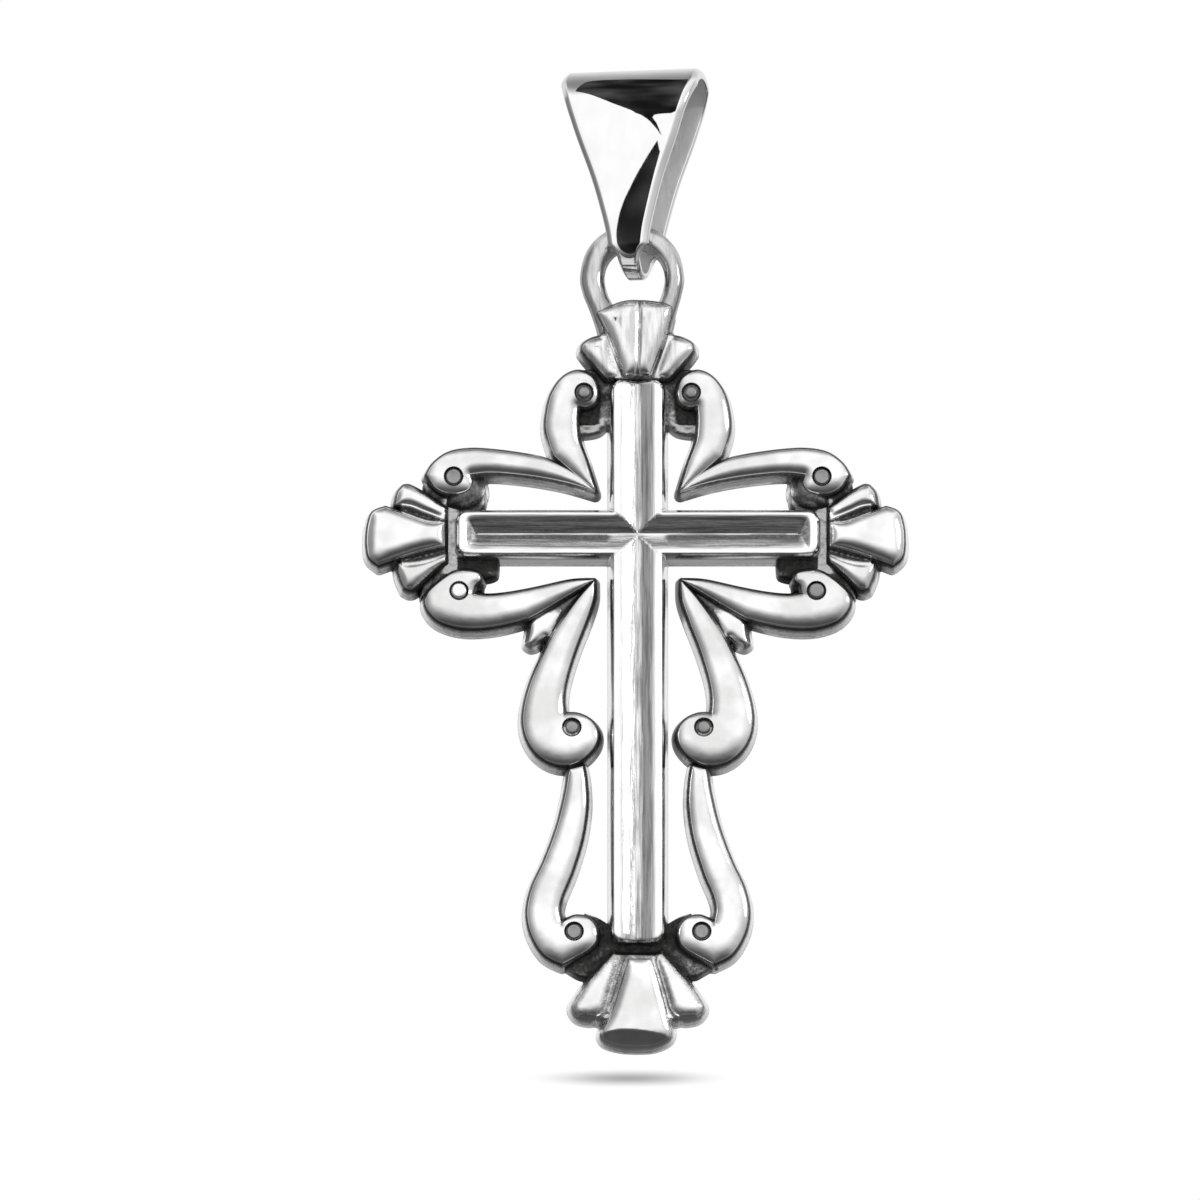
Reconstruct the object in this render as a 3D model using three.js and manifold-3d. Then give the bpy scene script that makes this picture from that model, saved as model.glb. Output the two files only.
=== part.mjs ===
// A cast silver cross pendant hanging by its eye in a folded, tapering bail.
// Millimetres, +Z up, the front faces -Y. Everything on the cross is laid out from the middle of
// the cross, then the whole object is moved so that the origin is where the chain bears,
// inside the top bend of the bail.
import * as THREE from 'three';
import { mergeVertices } from 'three/addons/utils/BufferGeometryUtils.js';
import Module from 'manifold-3d';

const wasm = await Module();
wasm.setup();

// Depths of the casting, along Y.
const BACK_Y = 1.1;
const BAR_FRONT_Y = -1.3;
const SCROLL_FRONT_Y = -1.05;
const FAN_FRONT_Y = -1.0;
const FAN_SIDE_FRONT_Y = -0.9;
const LEAF_FRONT_Y = -0.75;
const WEB_FRONT_Y = -0.2;

// Plan sizes.
const WALL_SPREAD = 0.12; // scrolls: mean spread of the drafted walls outside the front edge
const FAN_SPREAD = 0.27; // fans: full spread, because they set the overall size
const SEAM = 0.03; // gap left between neighbouring solids
const OUTLINE_STEP = 0.62; // length of one facet along an outline

// Raised bar cross.
const UPRIGHT_HALF = 1.1;
const UPRIGHT_TOP = 6.84;
const UPRIGHT_BOTTOM = -18.3;
const ARM_HALF = 0.95;
const ARM_END = 8.03;
const END_RADIUS = 0.4;
const GROOVE_DEPTH = 0.55;
const GROOVE_RIM = 0.35;

// The eye and the bail sit a little left of the cross's middle.
const EYE_X = -0.15;
const EYE_Z = 11.79;
const EYE_OUTER = 2.36;
const EYE_HOLE_HALF_WIDTH = 1.35;
const EYE_HOLE_TOP = 13.0;
const EYE_HOLE_BOTTOM = 10.3;
const EYE_HALF_DEPTH = 0.5;

const BAIL_X = -0.1;
const BAIL_TURN_DEG = -13; // the bail hangs turned a little about the vertical
const BAIL_THICKNESS = 0.5;
const BAIL_TOP_RADIUS = 2.1;
const BAIL_TOP_Z = 19.04; // centre of the top bend
const BAIL_BOTTOM_RADIUS = 1.8;
const BAIL_BOTTOM_Z = 13.23; // centre of the bottom bend
const CHAIN_Z = BAIL_TOP_Z + BAIL_TOP_RADIUS - BAIL_THICKNESS;

// Ring-and-dot eyes of the volutes.
const PIT_RADIUS = 0.4;
const PIT_DEPTH = 0.35;
const BEAD_RADIUS = 0.24;
const BEAD_PROUD = 0.05; // how far the bead stops below the scroll's front

// Front edges of the left-hand ornaments, counterclockwise seen from the front, as [x, z].
// Each list is one smooth stretch, which ends at the corner where the next one starts.
const SCROLLS = {
  top: {
    eye: [-2.4, 6.4],
    edge: [
      [[-1.9, 2.0], [-2.3, 3.3], [-2.65, 4.3], [-2.72, 5.2]],
      [[-2.68, 5.8], [-2.3, 5.76], [-1.9, 5.98], [-1.8, 6.5], [-2.05, 7.1], [-2.68, 7.38],
        [-3.35, 7.08], [-3.85, 6.35], [-4.08, 5.4], [-4.08, 4.6]],
      [[-3.75, 3.55], [-2.9, 2.8]],
    ],
  },
  upper_arm: {
    eye: [-8.25, 2.6],
    edge: [
      [[-1.9, 1.95], [-2.6, 2.45], [-3.6, 2.85], [-5.0, 3.22], [-6.3, 3.6], [-7.4, 3.75],
        [-8.5, 3.55], [-9.15, 3.1]],
      [[-9.45, 2.7], [-9.1, 2.15], [-8.6, 1.87], [-8.1, 1.82], [-7.6, 2.0], [-7.42, 2.35]],
      [[-7.5, 2.7], [-6.8, 2.78], [-6.0, 2.76], [-4.6, 2.6], [-3.2, 2.33]],
    ],
  },
  lower_arm: {
    eye: [-8.0, -2.57],
    edge: [
      [[-1.95, -2.05], [-3.0, -2.1], [-4.6, -2.45], [-5.8, -2.67], [-6.7, -2.75]],
      [[-7.38, -2.68], [-7.3, -2.3], [-7.05, -2.05], [-7.15, -1.74], [-7.7, -1.62],
        [-8.3, -1.75], [-9.0, -2.25], [-9.45, -2.75], [-9.45, -3.3], [-9.0, -3.85],
        [-8.2, -4.17], [-7.3, -4.25], [-6.2, -4.13]],
      [[-4.9, -3.8], [-4.0, -3.3], [-3.0, -2.7]],
    ],
  },
  middle: {
    eye: [-2.95, -8.72],
    edge: [
      [[-1.95, -2.1], [-2.7, -2.95], [-3.5, -4.1], [-4.2, -5.35], [-4.78, -6.7], [-5.1, -8.0],
        [-5.03, -9.0], [-4.6, -9.8], [-3.9, -10.3], [-3.1, -10.42], [-2.4, -10.1],
        [-1.88, -9.5], [-1.8, -8.9], [-2.15, -8.38], [-2.7, -8.12]],
      [[-3.3, -8.1], [-3.34, -7.4], [-3.2, -6.5], [-2.8, -5.2], [-2.3, -3.9], [-1.98, -2.9]],
    ],
  },
  lower: {
    eye: [-2.85, -17.9],
    edge: [
      [[-3.05, -10.6], [-3.25, -11.8], [-3.6, -13.2], [-4.15, -14.7], [-4.7, -15.9],
        [-4.93, -17.0], [-4.75, -18.0], [-4.2, -18.9]],
      [[-3.4, -19.35], [-2.8, -19.05], [-2.2, -18.7], [-1.85, -18.3], [-1.85, -17.75],
        [-2.2, -17.32], [-2.7, -17.2], [-3.1, -17.32]],
      [[-3.4, -17.5], [-3.52, -16.9], [-3.4, -16.3], [-2.95, -15.2], [-2.5, -13.7],
        [-2.3, -12.3], [-2.33, -11.2]],
      [[-2.45, -10.45]],
    ],
  },
};

const LEAF_EDGE = [
  [[-2.1, -2.2], [-3.3, -2.85], [-4.5, -3.6]],
  [[-4.85, -4.0], [-4.98, -4.5]],
  [[-5.0, -5.05], [-4.75, -5.3]],
  [[-4.35, -5.3], [-3.6, -4.35], [-2.9, -3.3]],
];

// Palmette fans: lobes spread from a focus behind the root. Angles are from the fan's own axis.
const FANS = {
  top: { focus: [0, 5.75], axis: 90, centre: [1.5, 4.65, 19], side: [1.35, 3.4, 21, 46] },
  left: { focus: [-6.9, -0.05], axis: 180, centre: [1.75, 5.22, 14], side: [1.75, 3.95, 17.5, 33] },
  right: { focus: [6.9, -0.05], axis: 0, centre: [1.75, 5.02, 14], side: [1.75, 3.85, 17.5, 33] },
  bottom: { focus: [0, -17.6], axis: 270, centre: [1.5, 5.4, 15.5], side: [1.4, 4.1, 18.5, 38] },
};

// Recessed webs that join the fans, the volutes and the ends of the bars, as [x, z].
const TOP_WEB = [
  [[-2.75, 4.62], [-2.3, 4.6], [-1.75, 4.72]],
  [[-1.4, 5.0]],
  [[-0.9, 5.0]],
  [[-0.9, 7.5]],
  [[-2.75, 7.5]],
];
const BOTTOM_WEB = [
  [[-2.85, -19.8]],
  [[2.85, -19.8]],
  [[2.35, -17.05], [1.8, -17.25]],
  [[1.3, -17.55]],
  [[-1.3, -17.55], [-1.8, -17.25]],
  [[-2.35, -17.05]],
];
const SIDE_WEB = [
  [[-9.6, 2.45]],
  [[-9.75, -2.8]],
  [[-6.9, -2.6]],
  [[-6.75, -1.9], [-6.3, -1.7]],
  [[-6.4, -0.6]],
  [[-7.4, 0.6]],
  [[-7.3, 1.05], [-6.9, 1.3], [-6.7, 1.7]],
  [[-6.75, 2.95]],
];

// Half-widths of the bail down its length, as [half width, z].
const BAIL_EDGE = [
  [[0, BAIL_TOP_Z + BAIL_TOP_RADIUS + 1]],
  [[3.12, BAIL_TOP_Z + BAIL_TOP_RADIUS + 1]],
  [[3.12, 20.55], [2.38, 18.15], [1.62, 16.0], [1.08, 14.0]],
  [[0.92, 13.0], [0.66, 12.72], [0.5, 12.35]],
  [[0.45, 11.8], [0.4, 10.9]],
  [[0, 10.9]],
];

const silver = (shade) => new THREE.MeshStandardMaterial({ color: shade, roughness: 0.12, metalness: 1 });
const POLISHED = silver(0xd9dade);
const DARKENED = silver(0x5a5b60);

// ---------------------------------------------------------------- outlines and solids

/** A closed outline of smooth stretches that meet at corners. */
function outline(stretches, step = OUTLINE_STEP) {
  const points = [];
  stretches.forEach((stretch, i) => {
    const next = stretches[(i + 1) % stretches.length][0];
    const curve = new THREE.SplineCurve([...stretch, next].map(([x, z]) => new THREE.Vector2(x, z)));
    const facets = Math.max(1, Math.round(curve.getLength() / step));
    points.push(...curve.getSpacedPoints(facets).slice(0, -1));
  });
  return points;
}

/** The outline moved outwards by an amount, with mitred corners kept short. */
function grow(points, amount) {
  const count = points.length;
  return points.map((point, i) => {
    const before = point.clone().sub(points[(i + count - 1) % count]).normalize();
    const after = points[(i + 1) % count].clone().sub(point).normalize();
    const normal = new THREE.Vector2(before.y + after.y, -before.x - after.x).normalize();
    const mitre = Math.min(1.4, 1 / Math.max(0.1, normal.x * after.y - normal.y * after.x));
    return point.clone().addScaledVector(normal, amount * mitre);
  });
}

/** An outline whose neighbouring points all differ. */
function withoutRepeats(points) {
  return points.filter((p, i) => p.distanceTo(points[(i + 1) % points.length]) > 1e-3);
}

const mirrored = (points) => points.map((p) => new THREE.Vector2(-p.x, p.y)).reverse();

/** A closed mesh as a solid. */
function solid(geometry) {
  geometry.deleteAttribute('normal');
  geometry.deleteAttribute('uv');
  const merged = mergeVertices(geometry, 1e-5);
  const vertProperties = new Float32Array(merged.attributes.position.array);
  const triVerts = new Uint32Array(merged.index.array);
  return new wasm.Manifold(new wasm.Mesh({ numProp: 3, vertProperties, triVerts }));
}

/** A solid back as a mesh's geometry. */
function geometryOf(body) {
  const { vertProperties, triVerts } = body.getMesh();
  const geometry = new THREE.BufferGeometry();
  geometry.setAttribute('position', new THREE.BufferAttribute(vertProperties, 3));
  geometry.setIndex(new THREE.BufferAttribute(triVerts, 1));
  return geometry;
}

/** A plate with upright walls: an outline in X and Z, from frontY back to backY. */
function plate(points, frontY, backY = BACK_Y) {
  const geometry = new THREE.ExtrudeGeometry(new THREE.Shape(points), {
    depth: backY - frontY, bevelEnabled: false,
  });
  geometry.rotateX(Math.PI / 2);
  geometry.translate(0, backY, 0);
  return solid(geometry);
}

/** A round post with its axis along Y. */
function post([x, z], radius, frontY, backY, sides = 12) {
  const geometry = new THREE.CylinderGeometry(radius, radius, backY - frontY, sides);
  geometry.translate(x, (frontY + backY) / 2, z);
  return solid(geometry);
}

/** The space that a neighbour takes up, with its seam, through the whole depth. */
const clearance = (points) => plate(grow(points, SEAM), BAR_FRONT_Y - 1, BACK_Y + 1);

/** A body cut clear of its neighbours. Slivers that the cuts leave beside it are dropped. */
function trimmed(body, neighbours) {
  const rest = neighbours.reduce((left, other) => left.subtract(other), body);
  return rest.decompose().reduce((a, b) => (a.volume() > b.volume() ? a : b));
}

// ---------------------------------------------------------------- bar cross

/** A V groove sunk into the front, with hipped ends: width and length at the mouth. */
function groove(halfWidth, low, high, hip) {
  const mouthY = BAR_FRONT_Y - 0.2;
  const floorY = BAR_FRONT_Y + GROOVE_DEPTH;
  const widen = 1 + 0.2 / GROOVE_DEPTH;
  const wide = halfWidth * widen;
  const endLow = low + hip - hip * widen;
  const endHigh = high - hip + hip * widen;
  const corners = [
    [-wide, mouthY, endLow], [wide, mouthY, endLow], [wide, mouthY, endHigh], [-wide, mouthY, endHigh],
    [0, floorY, low + hip], [0, floorY, high - hip],
  ];
  const faces = [0, 1, 2, 0, 2, 3, 0, 4, 1, 1, 4, 5, 1, 5, 2, 2, 5, 3, 3, 5, 4, 3, 4, 0];
  const geometry = new THREE.BufferGeometry();
  geometry.setAttribute('position', new THREE.Float32BufferAttribute(corners.flat(), 3));
  geometry.setIndex(faces);
  return geometry;
}

/** The plan of the bar cross: square inner corners and rounded bar ends. */
function barOutline() {
  const shape = new THREE.Shape();
  const quarter = Math.PI / 2;
  const end = (x, z, start) => shape.absarc(x, z, END_RADIUS, start * quarter, (start + 1) * quarter, false);
  shape.moveTo(UPRIGHT_HALF, UPRIGHT_BOTTOM + END_RADIUS);
  shape.lineTo(UPRIGHT_HALF, -ARM_HALF);
  end(ARM_END - END_RADIUS, -ARM_HALF + END_RADIUS, -1);
  end(ARM_END - END_RADIUS, ARM_HALF - END_RADIUS, 0);
  shape.lineTo(UPRIGHT_HALF, ARM_HALF);
  end(UPRIGHT_HALF - END_RADIUS, UPRIGHT_TOP - END_RADIUS, 0);
  end(-UPRIGHT_HALF + END_RADIUS, UPRIGHT_TOP - END_RADIUS, 1);
  shape.lineTo(-UPRIGHT_HALF, ARM_HALF);
  end(-ARM_END + END_RADIUS, ARM_HALF - END_RADIUS, 1);
  end(-ARM_END + END_RADIUS, -ARM_HALF + END_RADIUS, 2);
  shape.lineTo(-UPRIGHT_HALF, -ARM_HALF);
  end(-UPRIGHT_HALF + END_RADIUS, UPRIGHT_BOTTOM + END_RADIUS, 2);
  end(UPRIGHT_HALF - END_RADIUS, UPRIGHT_BOTTOM + END_RADIUS, 3);
  return withoutRepeats(shape.getPoints(2));
}

function barCross() {
  const beyond = 2;
  const upright = groove(UPRIGHT_HALF - GROOVE_RIM, UPRIGHT_BOTTOM - beyond, UPRIGHT_TOP + beyond, 0.5);
  const arms = groove(ARM_HALF - GROOVE_RIM, -ARM_END + GROOVE_RIM, ARM_END - GROOVE_RIM, 1.2);
  arms.rotateY(Math.PI / 2);
  return plate(barOutline(), BAR_FRONT_Y).subtract(solid(upright)).subtract(solid(arms));
}

// ---------------------------------------------------------------- fans

const polar = ([x, z], radius, degrees) => {
  const angle = THREE.MathUtils.degToRad(degrees);
  return new THREE.Vector2(x + radius * Math.cos(angle), z + radius * Math.sin(angle));
};

/** A wedge-shaped lobe between two angles, with its outer corners rounded off. */
function lobe(focus, rootRadius, tipRadius, startDeg, endDeg) {
  const shape = new THREE.Shape();
  const corner = Math.min(6, (endDeg - startDeg) / 4);
  const shoulder = tipRadius - 0.45;
  const at = (radius, degrees) => polar(focus, radius, degrees).toArray();
  shape.moveTo(...at(rootRadius, endDeg));
  shape.lineTo(...at(rootRadius, startDeg));
  shape.lineTo(...at(shoulder, startDeg));
  shape.quadraticCurveTo(...at(tipRadius, startDeg), ...at(tipRadius, startDeg + corner));
  const from = THREE.MathUtils.degToRad(startDeg + corner);
  const to = THREE.MathUtils.degToRad(endDeg - corner);
  shape.absarc(...focus, tipRadius, from, to, false);
  shape.quadraticCurveTo(...at(tipRadius, endDeg), ...at(shoulder, endDeg));
  shape.lineTo(...at(rootRadius, endDeg));
  return withoutRepeats(shape.getPoints(3));
}

/** The three lobes of a fan as outlines, the middle one first. */
function fanLobes({ focus, axis, centre, side }) {
  const [centreRoot, centreTip, spread] = centre;
  const [sideRoot, sideTip, near, far] = side;
  return [
    lobe(focus, centreRoot, centreTip, axis - spread, axis + spread),
    lobe(focus, sideRoot, sideTip, axis + near, axis + far),
    lobe(focus, sideRoot, sideTip, axis - far, axis - near),
  ].map((points) => grow(points, FAN_SPREAD));
}

function fan(lobes) {
  const fronts = [FAN_FRONT_Y, FAN_SIDE_FRONT_Y, FAN_SIDE_FRONT_Y];
  return lobes.map((points, i) => plate(points, fronts[i])).reduce((a, b) => a.add(b));
}

// ---------------------------------------------------------------- eye and bail

/** The cast eye: a ring whose wire is thickest at the top, where it hangs in the bail. */
function eyeRing(stations = 32, sides = 10) {
  const positions = [];
  const faces = [];
  const holeZ = (EYE_HOLE_TOP + EYE_HOLE_BOTTOM) / 2;
  const holeHalfHeight = (EYE_HOLE_TOP - EYE_HOLE_BOTTOM) / 2;
  for (let i = 0; i < stations; i += 1) {
    const angle = (i / stations) * 2 * Math.PI;
    const outer = new THREE.Vector2(EYE_OUTER * Math.cos(angle), EYE_Z + EYE_OUTER * Math.sin(angle));
    const inner = new THREE.Vector2(
      EYE_HOLE_HALF_WIDTH * Math.cos(angle), holeZ + holeHalfHeight * Math.sin(angle),
    );
    for (let j = 0; j < sides; j += 1) {
      const turn = ((j + 0.5) / sides) * 2 * Math.PI;
      const across = outer.clone().lerp(inner, 0.5 - 0.5 * Math.cos(turn));
      positions.push(EYE_X + across.x, EYE_HALF_DEPTH * Math.sin(turn), across.y);
      const ahead = ((i + 1) % stations) * sides;
      const here = i * sides;
      const k = (j + 1) % sides;
      faces.push(here + j, here + k, ahead + k, here + j, ahead + k, ahead + j);
    }
  }
  const geometry = new THREE.BufferGeometry();
  geometry.setAttribute('position', new THREE.Float32BufferAttribute(positions, 3));
  geometry.setIndex(faces);
  return solid(geometry);
}

/** The side view of the bail: two bends joined by straight flanks, as [y, z]. */
function bailLoop(inset) {
  const bottom = BAIL_BOTTOM_RADIUS - inset;
  const top = BAIL_TOP_RADIUS - inset;
  const lean = Math.asin((top - bottom) / (BAIL_TOP_Z - BAIL_BOTTOM_Z));
  const path = new THREE.Shape();
  path.absarc(0, BAIL_TOP_Z, top, -lean, Math.PI + lean, false);
  path.absarc(0, BAIL_BOTTOM_Z, bottom, Math.PI + lean, 2 * Math.PI - lean, false);
  return withoutRepeats(path.getPoints(11));
}

function bail() {
  const reach = 5;
  const band = new THREE.Shape(bailLoop(0));
  band.holes.push(new THREE.Path(bailLoop(BAIL_THICKNESS).reverse()));
  const geometry = new THREE.ExtrudeGeometry(band, { depth: 2 * reach, bevelEnabled: false });
  geometry.translate(0, 0, -reach);
  geometry.rotateX(Math.PI / 2);
  geometry.rotateZ(Math.PI / 2);
  const half = outline(BAIL_EDGE, 1.2);
  const whole = [...half, ...mirrored(half)];
  const face = plate(withoutRepeats(whole.reverse()), -reach, reach);
  return solid(geometry).intersect(face).rotate([0, 0, BAIL_TURN_DEG]).translate([BAIL_X, 0, 0]);
}

// ---------------------------------------------------------------- assembly

const pendant = new THREE.Group();
pendant.position.set(-BAIL_X, 0, -CHAIN_Z);

function add(name, body, material = POLISHED) {
  const mesh = new THREE.Mesh(geometryOf(body), material);
  mesh.name = name;
  pendant.add(mesh);
}

const barSpace = clearance(barOutline());
add('bar_cross', barCross());

const fanPlans = {};
for (const [place, plan] of Object.entries(FANS)) {
  fanPlans[place] = fanLobes(plan);
  add(`fan_${place}`, trimmed(fan(fanPlans[place]), [barSpace]));
}

const sides = [['left', (points) => points], ['right', mirrored]];
const allTaken = [];
for (const [side, flip] of sides) {
  const onSide = ([x, z]) => (side === 'left' ? [x, z] : [-x, z]);
  const taken = [barSpace, ...Object.values(fanPlans).flat().map(clearance)];
  for (const [place, { eye, edge }] of Object.entries(SCROLLS)) {
    const points = flip(grow(outline(edge), WALL_SPREAD));
    const pit = post(onSide(eye), PIT_RADIUS, SCROLL_FRONT_Y - 1, SCROLL_FRONT_Y + PIT_DEPTH);
    add(`scroll_${place}_${side}`, trimmed(plate(points, SCROLL_FRONT_Y), taken).subtract(pit));
    const beadBack = SCROLL_FRONT_Y + PIT_DEPTH - SEAM;
    const bead = post(onSide(eye), BEAD_RADIUS, SCROLL_FRONT_Y + BEAD_PROUD, beadBack, 8);
    add(`volute_bead_${place}_${side}`, bead, DARKENED);
    taken.push(clearance(points));
  }
  const leaf = flip(outline(LEAF_EDGE));
  add(`leaf_${side}`, trimmed(plate(leaf, LEAF_FRONT_Y), taken));
  for (const [place, edge] of [['top', TOP_WEB], ['arm', SIDE_WEB]]) {
    add(`web_${place}_${side}`, trimmed(plate(flip(outline(edge)), WEB_FRONT_Y), taken), DARKENED);
  }
  allTaken.push(...taken);
}
add('web_bottom', trimmed(plate(outline(BOTTOM_WEB), WEB_FRONT_Y), allTaken), DARKENED);

add('eye_loop', trimmed(eyeRing(), fanPlans.top.map(clearance)));
add('bail', bail());

export default pendant;
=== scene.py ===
import math

import bpy
import numpy as np
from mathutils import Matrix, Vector
from mathutils.bvhtree import BVHTree
from mathutils.geometry import delaunay_2d_cdt
from mathutils.noise import fractal


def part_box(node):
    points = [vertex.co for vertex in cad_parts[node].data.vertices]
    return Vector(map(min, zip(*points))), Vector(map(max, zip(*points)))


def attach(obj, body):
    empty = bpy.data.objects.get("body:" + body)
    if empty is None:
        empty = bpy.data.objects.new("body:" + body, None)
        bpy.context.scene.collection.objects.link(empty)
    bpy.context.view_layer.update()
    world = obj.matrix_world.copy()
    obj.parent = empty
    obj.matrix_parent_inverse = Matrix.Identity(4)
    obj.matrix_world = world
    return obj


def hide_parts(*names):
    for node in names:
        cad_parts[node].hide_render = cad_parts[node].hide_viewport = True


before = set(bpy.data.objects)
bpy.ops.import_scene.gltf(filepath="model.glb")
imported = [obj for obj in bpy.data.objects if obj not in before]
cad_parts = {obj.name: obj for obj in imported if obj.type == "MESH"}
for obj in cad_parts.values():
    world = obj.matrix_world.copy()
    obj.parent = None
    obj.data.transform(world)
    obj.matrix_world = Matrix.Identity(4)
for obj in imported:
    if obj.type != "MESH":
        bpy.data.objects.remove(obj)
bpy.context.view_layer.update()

MM = 0.001
UPRIGHT_TOP = 6.84
bar_low, bar_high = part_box("bar_cross")
ORIGIN = np.array([(bar_low.x + bar_high.x) / 2, 0.0, bar_high.z - UPRIGHT_TOP * MM])

BACK_Y = 1.1
BAR_FRONT = -1.3
SCROLL_FRONT = -1.05
FAN_FRONT = -1.0
FAN_SIDE_FRONT = -0.9
FLUTE_Y = -0.72
LEAF_FRONT = -0.72
WEB_Y = -0.2
SPREAD = 0.27          # how far the drafted walls stand out at the back
WEB_SPREAD = 0.12
BACK_BEVEL = 0.07
EDGE_SOFT = 0.05       # radius of the front edges
SHOULDER, SHOULDER_DROP = 0.36, 0.07   # the walls' rounded shoulder, as shares of spread and depth
FINE = 0.075           # spacing of the surface mesh
BACK_STEP = 0.3        # the same on the flat back

# ------------------------------------------------------------------ plans
# Rolled-under end below the upper arm's volute.
CURL = [
    [[-7.5, 2.78], [-7.1, 2.6], [-6.93, 2.15], [-7.0, 1.72], [-7.35, 1.35], [-7.9, 1.2]],
    [[-8.6, 1.35]], [[-8.3, 2.3]],
]
SCROLLS = {
    "top": dict(eye=(-2.4, 6.4), edge=[
        [[-1.9, 2.0], [-2.3, 3.3], [-2.65, 4.3], [-2.72, 5.2]],
        [[-2.68, 5.8], [-2.3, 5.76], [-1.9, 5.98], [-1.8, 6.5], [-2.05, 7.1], [-2.68, 7.38],
         [-3.35, 7.08], [-3.85, 6.35], [-4.08, 5.4], [-4.08, 4.6]],
        [[-3.75, 3.55], [-2.9, 2.8]]]),
    "upper_arm": dict(eye=(-8.25, 2.6), curls=[CURL], edge=[
        [[-1.9, 1.95], [-2.6, 2.58], [-3.4, 3.08], [-4.2, 3.42], [-5.2, 3.62], [-6.4, 3.78],
         [-7.5, 3.84], [-8.45, 3.68], [-9.12, 3.22]],
        [[-9.45, 2.7], [-9.1, 2.15], [-8.6, 1.87], [-8.1, 1.82], [-7.6, 2.0], [-7.42, 2.35]],
        [[-7.5, 2.7], [-6.8, 2.78], [-6.0, 2.76], [-4.6, 2.6], [-3.2, 2.33]]]),
    "lower_arm": dict(eye=(-8.0, -2.57), edge=[
        [[-1.95, -2.05], [-3.0, -2.1], [-4.6, -2.45], [-5.8, -2.67], [-6.7, -2.75]],
        [[-7.38, -2.68], [-7.3, -2.3], [-7.05, -2.05], [-7.15, -1.74], [-7.7, -1.62],
         [-8.3, -1.75], [-9.0, -2.25], [-9.45, -2.75], [-9.45, -3.3], [-9.0, -3.85],
         [-8.2, -4.17], [-7.3, -4.25], [-6.2, -4.13]],
        [[-4.9, -3.8], [-4.0, -3.3], [-3.0, -2.7]]]),
    "middle": dict(eye=(-2.95, -8.72), edge=[
        [[-1.95, -2.1], [-2.7, -2.95], [-3.5, -4.1], [-4.2, -5.35], [-4.78, -6.7], [-5.1, -8.0],
         [-5.03, -9.0], [-4.6, -9.8], [-3.9, -10.3], [-3.1, -10.42], [-2.4, -10.1],
         [-1.88, -9.5], [-1.8, -8.9], [-2.15, -8.38], [-2.7, -8.12]],
        [[-3.3, -8.1], [-3.34, -7.4], [-3.2, -6.5], [-2.8, -5.2], [-2.3, -3.9], [-1.98, -2.9]]]),
    "lower": dict(eye=(-2.85, -17.9), edge=[
        [[-3.05, -10.6], [-3.25, -11.8], [-3.6, -13.2], [-4.15, -14.7], [-4.7, -15.9],
         [-4.93, -17.0], [-4.75, -18.0], [-4.2, -18.9]],
        [[-3.4, -19.35], [-2.8, -19.05], [-2.2, -18.7], [-1.85, -18.3], [-1.85, -17.75],
         [-2.2, -17.32], [-2.7, -17.2], [-3.1, -17.32]],
        [[-3.4, -17.5], [-3.52, -16.9], [-3.4, -16.3], [-2.95, -15.2], [-2.5, -13.7],
         [-2.3, -12.3], [-2.33, -11.2]],
        [[-2.45, -10.45]]]),
}
LEAF_EDGE = [
    [[-2.1, -2.2], [-3.3, -2.85], [-4.5, -3.65]],
    [[-4.83, -4.0], [-4.86, -4.4]],
    [[-4.95, -4.85], [-4.75, -4.95]],
    [[-4.35, -4.78], [-4.1, -4.6]],
    [[-3.95, -4.75], [-3.5, -4.0], [-2.9, -3.2]],
]
TOP_WEB = [
    [[-2.75, 4.62], [-2.3, 4.6], [-1.75, 4.72]],
    [[-1.4, 5.0]], [[-0.9, 5.0]], [[-0.9, 7.5]], [[-2.75, 7.5]],
]
BOTTOM_WEB = [
    [[-3.55, -19.2], [-3.15, -19.5], [-2.6, -19.82]],
    [[-2.0, -19.9]], [[2.0, -19.9]],
    [[2.6, -19.82], [3.15, -19.5], [3.55, -19.2]],
    [[2.35, -17.05], [1.8, -17.25]],
    [[1.3, -17.55]],
    [[-1.3, -17.55], [-1.8, -17.25]],
    [[-2.35, -17.05]],
]
SIDE_WEB = [
    [[-9.55, 2.4]], [[-9.7, -2.75]], [[-7.0, -2.5]],
    [[-6.95, -1.95], [-6.45, -1.83], [-6.32, -1.6]],
    [[-6.3, -0.6]], [[-7.4, 0.6]],
    [[-7.3, 1.0], [-7.0, 1.2], [-6.85, 1.7]],
    [[-6.95, 2.7]],
]
TOP_SIDE_LOBE = [
    [[-0.75, 7.1], [-0.95, 7.7]],
    [[-1.4, 9.0], [-1.95, 8.9], [-2.42, 8.65]],
    [[-2.5, 8.35], [-2.2, 7.95], [-1.5, 7.15]],
    [[-1.3, 7.05]],
]
BOTTOM_SIDE_LOBE = [
    [[-1.05, -18.8], [-2.1, -19.95], [-2.75, -20.9], [-2.93, -21.25], [-2.75, -21.6],
     [-2.4, -21.75], [-1.95, -21.75], [-1.52, -21.45], [-1.27, -20.7], [-0.98, -19.7],
     [-0.85, -19.2]],
]
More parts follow.
